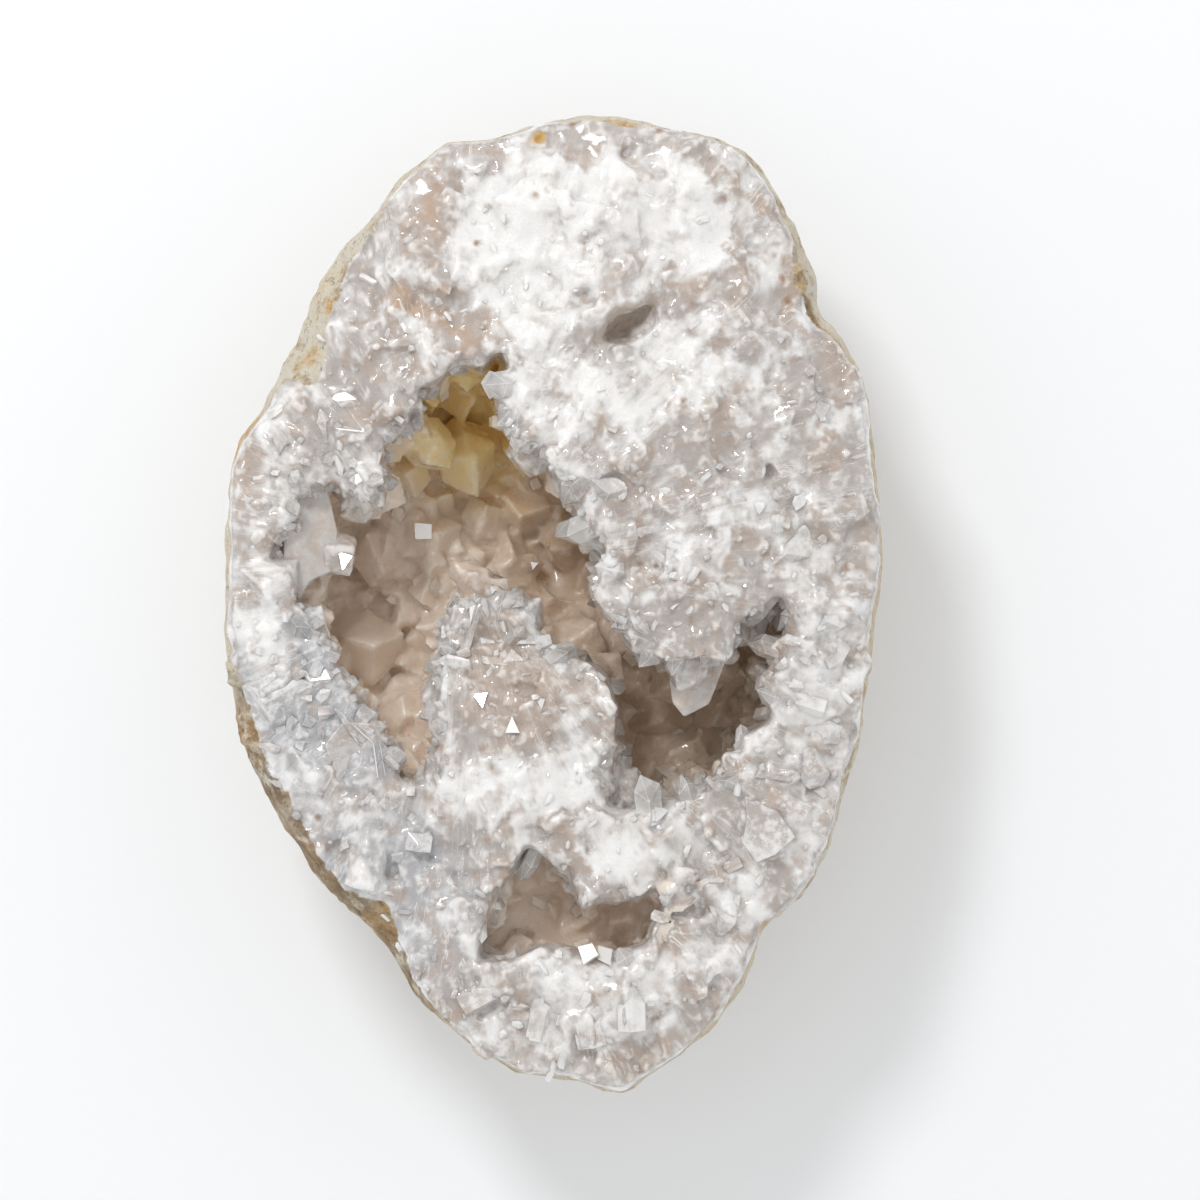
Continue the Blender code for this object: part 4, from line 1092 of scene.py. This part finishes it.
# Large clear crystals that stand out one by one: the one that hangs at the end of the mass, the long one at the
# lower left, the cluster on top of the tongue, and the points along the edge of the mass and of the ridge.
# Each row is a root, a point, a radius. The height of a root is how far it lies above or below the face there,
# and the height of a point is how far it rises or drops from the root.
CLEAR_CRYSTALS = (
    ((15.1, 0.2, -0.6), (12.3, -5.4, 0.4), 1.35),
    ((18.4, 1.7, -0.8), (15.7, -1.7, 0.3), 1.3),
    ((-22.6, -0.2, -0.4), (-20.3, -3.0, 0.7), 1.1),
    ((-7.0, -2.4, -0.9), (-8.6, 0.3, 0.9), 1.5),
    ((-6.4, -1.2, -0.9), (-6.8, 1.0, 0.9), 1.1),
    ((-4.9, -2.2, -0.9), (-4.2, 0.8, 1.3), 1.5),
    ((-4.2, -3.9, -0.6), (-2.3, -1.6, 1.0), 0.9),
    ((-0.7, -5.2, -0.5), (1.9, -3.4, 0.6), 1.2),
    ((-7.8, -5.0, -0.5), (-9.3, -3.2, 0.7), 1.0),
    ((-7.3, -3.8, 0.6), (-6.1, 0.2, 1.2), 0.42),
    ((-11.4, 22.0, -0.8), (-10.6, 18.4, -0.4), 1.5),
    ((-6.4, 23.4, -0.8), (-5.9, 20.2, -0.2), 1.5),
    ((-16.9, 11.6, -0.6), (-15.9, 8.6, 0.0), 1.5),
    ((-13.2, 11.6, -0.6), (-12.3, 8.6, 0.0), 1.4),
    ((-11.5, 10.4, -0.8), (-11.3, 7.6, -0.2), 1.0),
    ((-2.8, 18.6, -0.5), (-5.6, 18.1, 0.4), 1.5),
    ((-1.6, 16.4, -0.5), (-4.7, 14.7, 0.3), 1.9),
    ((0.0, 15.6, -0.6), (-1.1, 12.2, 0.0), 1.3),
    ((4.0, 11.4, -0.6), (0.6, 8.4, 0.2), 1.4),
    ((5.4, 9.8, -0.3), (1.7, 8.6, 0.9), 2.0),
    ((3.9, 7.1, -1.6), (0.2, 5.4, -0.8), 1.5),
    ((3.9, 3.9, -1.2), (0.9, 2.5, -0.4), 1.4),
    ((5.5, 1.4, -0.6), (3.2, 0.3, 0.3), 1.25),
    ((7.2, -1.2, -0.6), (4.9, -1.8, 0.3), 1.15),
    ((8.9, -3.5, -0.6), (7.1, -5.2, 0.2), 1.25),
    ((10.5, -3.7, -0.5), (9.7, -5.9, 0.4), 1.0),
    ((5.4, -16.4, -0.8), (5.7, -11.6, 0.2), 1.35),
    ((8.0, -18.0, -0.6), (7.6, -14.0, 0.5), 1.45),
    ((11.4, -17.2, -0.6), (10.5, -14.0, 0.4), 1.15),
    ((18.4, -12.9, -0.6), (15.0, -11.6, 0.4), 1.35),
    ((17.2, -15.8, -0.5), (13.3, -14.0, 0.6), 1.4),
    ((20.2, -8.1, -0.5), (16.8, -7.1, 0.5), 1.4),
    ((19.0, -3.9, -0.5), (16.2, -2.9, 0.4), 1.2),
    ((-5.5, -33.0, -0.5), (-6.4, -29.8, 0.6), 1.2),
    ((-2.5, -33.2, -0.5), (-2.4, -29.6, 0.6), 1.3),
    ((0.5, -33.4, -0.5), (0.9, -29.8, 0.6), 1.2),
    ((6.5, -31.6, -0.5), (5.6, -28.4, 0.7), 1.1),
    ((-1.5, -20.4, -0.4), (-2.6, -23.0, 0.3), 1.0),
    ((3.5, -22.0, -0.4), (2.6, -25.0, 0.3), 1.1),
)


ROOT_DEPTH = 0.8


def face_height(x, y):
    found = skin_tree.ray_cast(Vector((x, y, 60)), Vector((0, 0, -1)))[0]
    return found.z


def bevelled_piece(name, crystals, width, material):
    """A piece of crisp crystals with narrow bevels along their edges, clearer towards the point."""
    corners, faces, _ = crystal_arrays(crystals)
    corners[:, 2] = np.clip(corners[:, 2], 0.5, cad_box[1].z / MM + 0.6)
    owners = KDTree(len(corners))
    for index, corner in enumerate(corners):
        owners.insert(corner, index)
    owners.balance()
    mesh = mesh_of(name, corners, faces)
    work = bmesh.new()
    work.from_mesh(mesh)
    bmesh.ops.dissolve_limit(work, angle_limit=math.radians(0.5), verts=work.verts, edges=work.edges)
    edge = work.faces.layers.float.new("edge")
    cut = bmesh.ops.bevel(work, geom=work.edges, offset=width * MM, segments=1, affect="EDGES", clamp_overlap=True)
    for face in cut["faces"]:
        face[edge] = 1.0
    bmesh.ops.triangulate(work, faces=work.faces)
    work.to_mesh(mesh)
    work.free()
    places = np.array([vert.co for vert in mesh.vertices]) / MM
    roots, axes, radii, lengths, soft = crystals
    owner = np.array([owners.find(place)[1] for place in places]) // 13
    for title, values in stone_values(places).items():
        give(mesh, title, values)
    give(mesh, "along", ((places - roots[owner]) * axes[owner]).sum(axis=1) / lengths[owner])
    give(mesh, "soft", soft[owner])
    give(mesh, "grain", places - roots[owner] * 1.7)
    on_edge = np.zeros(len(mesh.polygons))
    mesh.attributes["edge"].data.foreach_get("value", on_edge)
    # Bevel faces carry the painted edge highlight
    give(mesh, "edges", np.repeat(1 - on_edge, 9).reshape(-1, 3), "CORNER")
    return ready(new_object(name, mesh), material)


rows = []
for (root_x, root_y, lift), (tip_x, tip_y, climb), radius in CLEAR_CRYSTALS:
    height = face_height(root_x, root_y) + lift - 0.2
    rows.append(((root_x, root_y, height - ROOT_DEPTH), (tip_x, tip_y, height + climb), 0.88 * radius))
CLEAR_CRYSTAL = crystal_material("clear_crystal", 0.3, 0.0, 0.6, 0.5, 0.05)
bevelled_piece("clear_crystals", placed(rows), BEVEL, CLEAR_CRYSTAL)
FROSTED_CRYSTAL = crystal_material("frosted_crystal", 0.6, 0.3, 1.1, 0.15, 0.12)
bevelled_piece("face_crystals", face_crystals, BEVEL, FROSTED_CRYSTAL)
bevelled_piece("mouth_crystals", lip_crystals, 0.6 * BEVEL, FROSTED_CRYSTAL)


# Facets that mirror the light, and the fine growth lines of the large crystal at the lower left: thin closed
# flakes of quartz, each lying on the surface that is seen from above.
FLAKE_DEPTH = 0.35
PALE_FACET = srgb(240, 237, 234)
FLAKES = (
    ((-12.0, 7.0), (-10.5, 6.9), (-10.5, 5.65), (-11.9, 5.6)),
    ((-18.0, 4.4), (-16.9, 4.1), (-17.7, 2.9)),
    ((-6.7, -7.4), (-5.5, -7.3), (-5.9, -8.5)),
    ((-4.0, -10.6), (-3.45, -9.2), (-2.8, -10.6)),
    ((-1.5, -7.65), (-0.7, -7.8), (-1.0, -8.65)),
    ((-2.1, 3.7), (-1.4, 3.6), (-1.9, 3.0)),
    ((2.0, -28.5), (3.2, -28.2), (3.7, -29.1), (2.5, -29.9)),
    ((3.7, -28.4), (4.9, -28.7), (4.7, -30.0), (3.6, -29.5)),
    ((-7.0, -0.2), (-6.4, 0.1), (-6.9, -1.5)),
    ((-5.3, 1.6), (-4.8, 1.3), (-5.2, 0.9)),
)
GROWTH_LINES = (
    ((-16.8, -9.9), (-15.0, -11.5), 0.12), ((-15.0, -11.5), (-14.6, -14.4), 0.12), ((-16.2, -10.0), (-14.5, -11.4), 0.08),
    ((-14.5, -11.4), (-14.0, -14.2), 0.08),
)
PLATES = (
    (((-19.0, -11.6), (-17.5, -9.7), (-14.8, -9.9), (-13.9, -11.8), (-13.0, -14.3), (-13.5, -15.2), (-18.0, -14.95)),
     (0.16, -0.06, 1.0), 2.6, 28.3),
    (((-22.4, 7.9), (-20.9, 9.6), (-19.0, 9.8), (-18.1, 6.1), (-18.4, 2.9), (-20.4, 2.0), (-21.3, 0.4), (-22.6, 3.0)),
     (0.30, -0.02, 1.0), 2.6, 25.2),
    (((9.5, -4.6), (9.9, -8.2), (10.9, -9.4), (13.0, -8.3), (14.3, -4.8), (12.0, -4.0)), (-0.10, -0.22, 1.0), 2.6, 26.4),
)
LIGHT_PLACE = np.array([-160.0, 300.0, 480.0])
VIEW_PLACE = np.array([0.0, 0.0, 520.0])


def seen_height(tree, x, y):
    return tree.ray_cast(Vector((x, y, 60)), Vector((0, 0, -1)))[0].z


def flake(outline, height, normal, depth):
    """Corners and faces of a thin closed flake whose top lies square to a normal."""
    top = np.array([(x, y, 0.0) for x, y in outline])
    middle = top.mean(axis=0)
    top[:, 2] = height - ((top - middle) @ normal - top[:, 2] * normal[2]) / normal[2]
    count = len(top)
    corners = np.concatenate([top, top - normal * depth])
    faces = [tuple(range(count)), tuple(reversed(range(count, 2 * count)))]
    for side in range(count):
        after = (side + 1) % count
        faces.append((after, side, side + count, after + count))
    return corners, faces


def flakes_piece(name, flakes, material):
    corners = []
    faces = []
    for flake_corners, flake_faces in flakes:
        faces += [tuple(index + len(corners) for index in face) for face in flake_faces]
        corners += flake_corners.tolist()
    mesh = bpy.data.meshes.new(name)
    mesh.from_pydata([[part * MM for part in corner] for corner in corners], [], faces)
    work = bmesh.new()
    work.from_mesh(mesh)
    bmesh.ops.recalc_face_normals(work, faces=work.faces)
    work.to_mesh(mesh)
    work.free()
    return ready(new_object(name, mesh), material)


def glossy_quartz(name, colour, roughness):
    material, _, shader, _, _ = new_material(name)
    shader.inputs["Base Color"].default_value = colour
    shader.inputs["Roughness"].default_value = roughness
    shader.inputs["IOR"].default_value = 1.544
    shader.inputs["Subsurface Weight"].default_value = 0.8
    shader.inputs["Subsurface Radius"].default_value = (1.0, 0.94, 0.88)
    shader.inputs["Subsurface Scale"].default_value = 0.4 * MM
    shader.inputs["Coat Weight"].default_value = 1.0
    return material


clear_corners, clear_faces, _ = crystal_arrays(placed(rows))
top_tree = tree_of(np.concatenate([body, clear_corners]), np.concatenate([body_faces, clear_faces + len(body)]))
plates = []
for outline, normal, depth, height in PLATES:
    plates.append(flake(outline, height, unit(np.array(normal)), depth))
plates_piece = flakes_piece("clear_plates", plates, CLEAR_CRYSTAL)
plate_mesh = plates_piece.data
work = bmesh.new()
work.from_mesh(plate_mesh)
edge = work.faces.layers.float.new("edge")
cut = bmesh.ops.bevel(work, geom=work.edges, offset=0.14 * MM, segments=1, affect="EDGES", clamp_overlap=True)
for face in cut["faces"]:
    face[edge] = 1.0
bmesh.ops.triangulate(work, faces=work.faces)
work.to_mesh(plate_mesh)
work.free()
plate_mesh.calc_loop_triangles()
plate_corners = np.array([vert.co for vert in plate_mesh.vertices]) / MM
plate_values = stone_values(plate_corners)
plate_values["warm"] = np.maximum(plate_values["warm"], 0.4)
for title, values in plate_values.items():
    give(plate_mesh, title, values)
give(plate_mesh, "along", np.full(len(plate_corners), 0.25))
give(plate_mesh, "soft", np.tile([0.0, 0.0, 1.0], (len(plate_corners), 1)))
give(plate_mesh, "grain", plate_corners * 0.8)
on_edge = np.zeros(len(plate_mesh.polygons))
plate_mesh.attributes["edge"].data.foreach_get("value", on_edge)
# Bevel faces carry the painted edge highlight
give(plate_mesh, "edges", np.repeat(1 - on_edge, 9).reshape(-1, 3), "CORNER")
plate_faces = np.array([triangle.vertices for triangle in plate_mesh.loop_triangles])
top_tree = tree_of(np.concatenate([body, clear_corners, plate_corners]),
                   np.concatenate([body_faces, clear_faces + len(body),
                                   plate_faces + len(body) + len(clear_corners)]))
flakes = []
for outline in FLAKES:
    middle = np.mean(outline, axis=0)
    height = max(seen_height(top_tree, *place) for place in (*outline, middle))
    here = np.array([*middle, height])
    mirror = unit(unit(LIGHT_PLACE - here) + unit(VIEW_PLACE - here)) + chance.uniform(-0.16, 0.16, 3)
    if height < LIP_LEVEL:
        mirror = np.array([-0.06, 0.10, 1.0])
    flakes.append(flake(outline, height + 0.15, unit(mirror), FLAKE_DEPTH))
BRIGHT_FACET = glossy_quartz("bright_facet", PALE_FACET, 0.12)
BRIGHT_FACET.node_tree.nodes["Principled BSDF"].inputs["Metallic"].default_value = 0.6
flakes_piece("bright_facets", flakes, BRIGHT_FACET)
lines = []
for (from_x, from_y), (to_x, to_y), width in GROWTH_LINES:
    way = unit(np.array([to_x - from_x, to_y - from_y]))
    aside = 0.5 * width * np.array([-way[1], way[0]])
    start, end = np.array([from_x, from_y]), np.array([to_x, to_y])
    start_height = seen_height(top_tree, from_x, from_y)
    end_height = seen_height(top_tree, to_x, to_y)
    slope = (end_height - start_height) / np.linalg.norm(end - start)
    normal = unit(np.array([-slope * way[0], -slope * way[1], 1.0]))
    outline = (start - aside, end - aside, end + aside, start + aside)
    lines.append(flake(outline, 0.5 * (start_height + end_height) + 0.06, normal, 0.2))
flakes_piece("growth_lines", lines, glossy_quartz("growth_line", GREY_WHITE, 0.2))


# Studio: a plain pale floor, an even bright surround and one large soft light from above the long end.
# The camera looks straight down on the broken face, with a long lens from half a metre.
MM_PER_PIXEL = 0.08316
MIDDLE_PIXEL = (553.5, 605)
FRAME_PIXELS = 1200
FACE_PLANE = 29.0 * MM
LENS = 180.0
SENSOR = 36.0

floor_mesh = bpy.data.meshes.new("floor")
floor_mesh.from_pydata([(-3, -3, 0), (3, -3, 0), (3, 3, 0), (-3, 3, 0)], [], [(0, 1, 2, 3)])
floor = new_object("floor", floor_mesh)
floor_material, floor_tree, floor_shader, _, _ = new_material("floor")
floor_shader.inputs["Base Color"].default_value = (0.94, 0.96, 0.99, 1)
floor_shader.inputs["Roughness"].default_value = 0.8
floor_shader.inputs["Specular IOR Level"].default_value = 0.2
floor_mesh.materials.append(floor_material)

world = bpy.data.worlds.new("surround")
bpy.context.scene.world = world
world.use_nodes = True
world.node_tree.nodes["Background"].inputs["Color"].default_value = (1.0, 0.995, 0.985, 1)
world.node_tree.nodes["Background"].inputs["Strength"].default_value = 0.78

SOFT_LIGHTS = (
    ((-0.16, 0.30, 0.48), 0.11, 1.1),
)
for index, (location, size, power) in enumerate(SOFT_LIGHTS):
    lamp = bpy.data.lights.new("soft_light_%d" % index, "AREA")
    lamp.size = size
    lamp.energy = power
    light = new_object(lamp.name, lamp)
    light.location = location
    light.rotation_euler = (Vector((0, 0, 0.02)) - light.location).to_track_quat("-Z", "Y").to_euler()

camera_data = bpy.data.cameras.new("camera")
camera_data.lens = LENS
camera_data.sensor_width = SENSOR
camera = new_object("camera", camera_data)
distance = FRAME_PIXELS * MM_PER_PIXEL * MM * LENS / SENSOR
across = (FRAME_PIXELS / 2 - MIDDLE_PIXEL[0]) * MM_PER_PIXEL * MM
along = (MIDDLE_PIXEL[1] - FRAME_PIXELS / 2) * MM_PER_PIXEL * MM
camera.location = (across, along, FACE_PLANE + distance)
bpy.context.scene.camera = camera
bpy.context.scene.view_settings.view_transform = "Standard"
bpy.context.scene.cycles.max_bounces = 8
bpy.context.scene.cycles.diffuse_bounces = 6
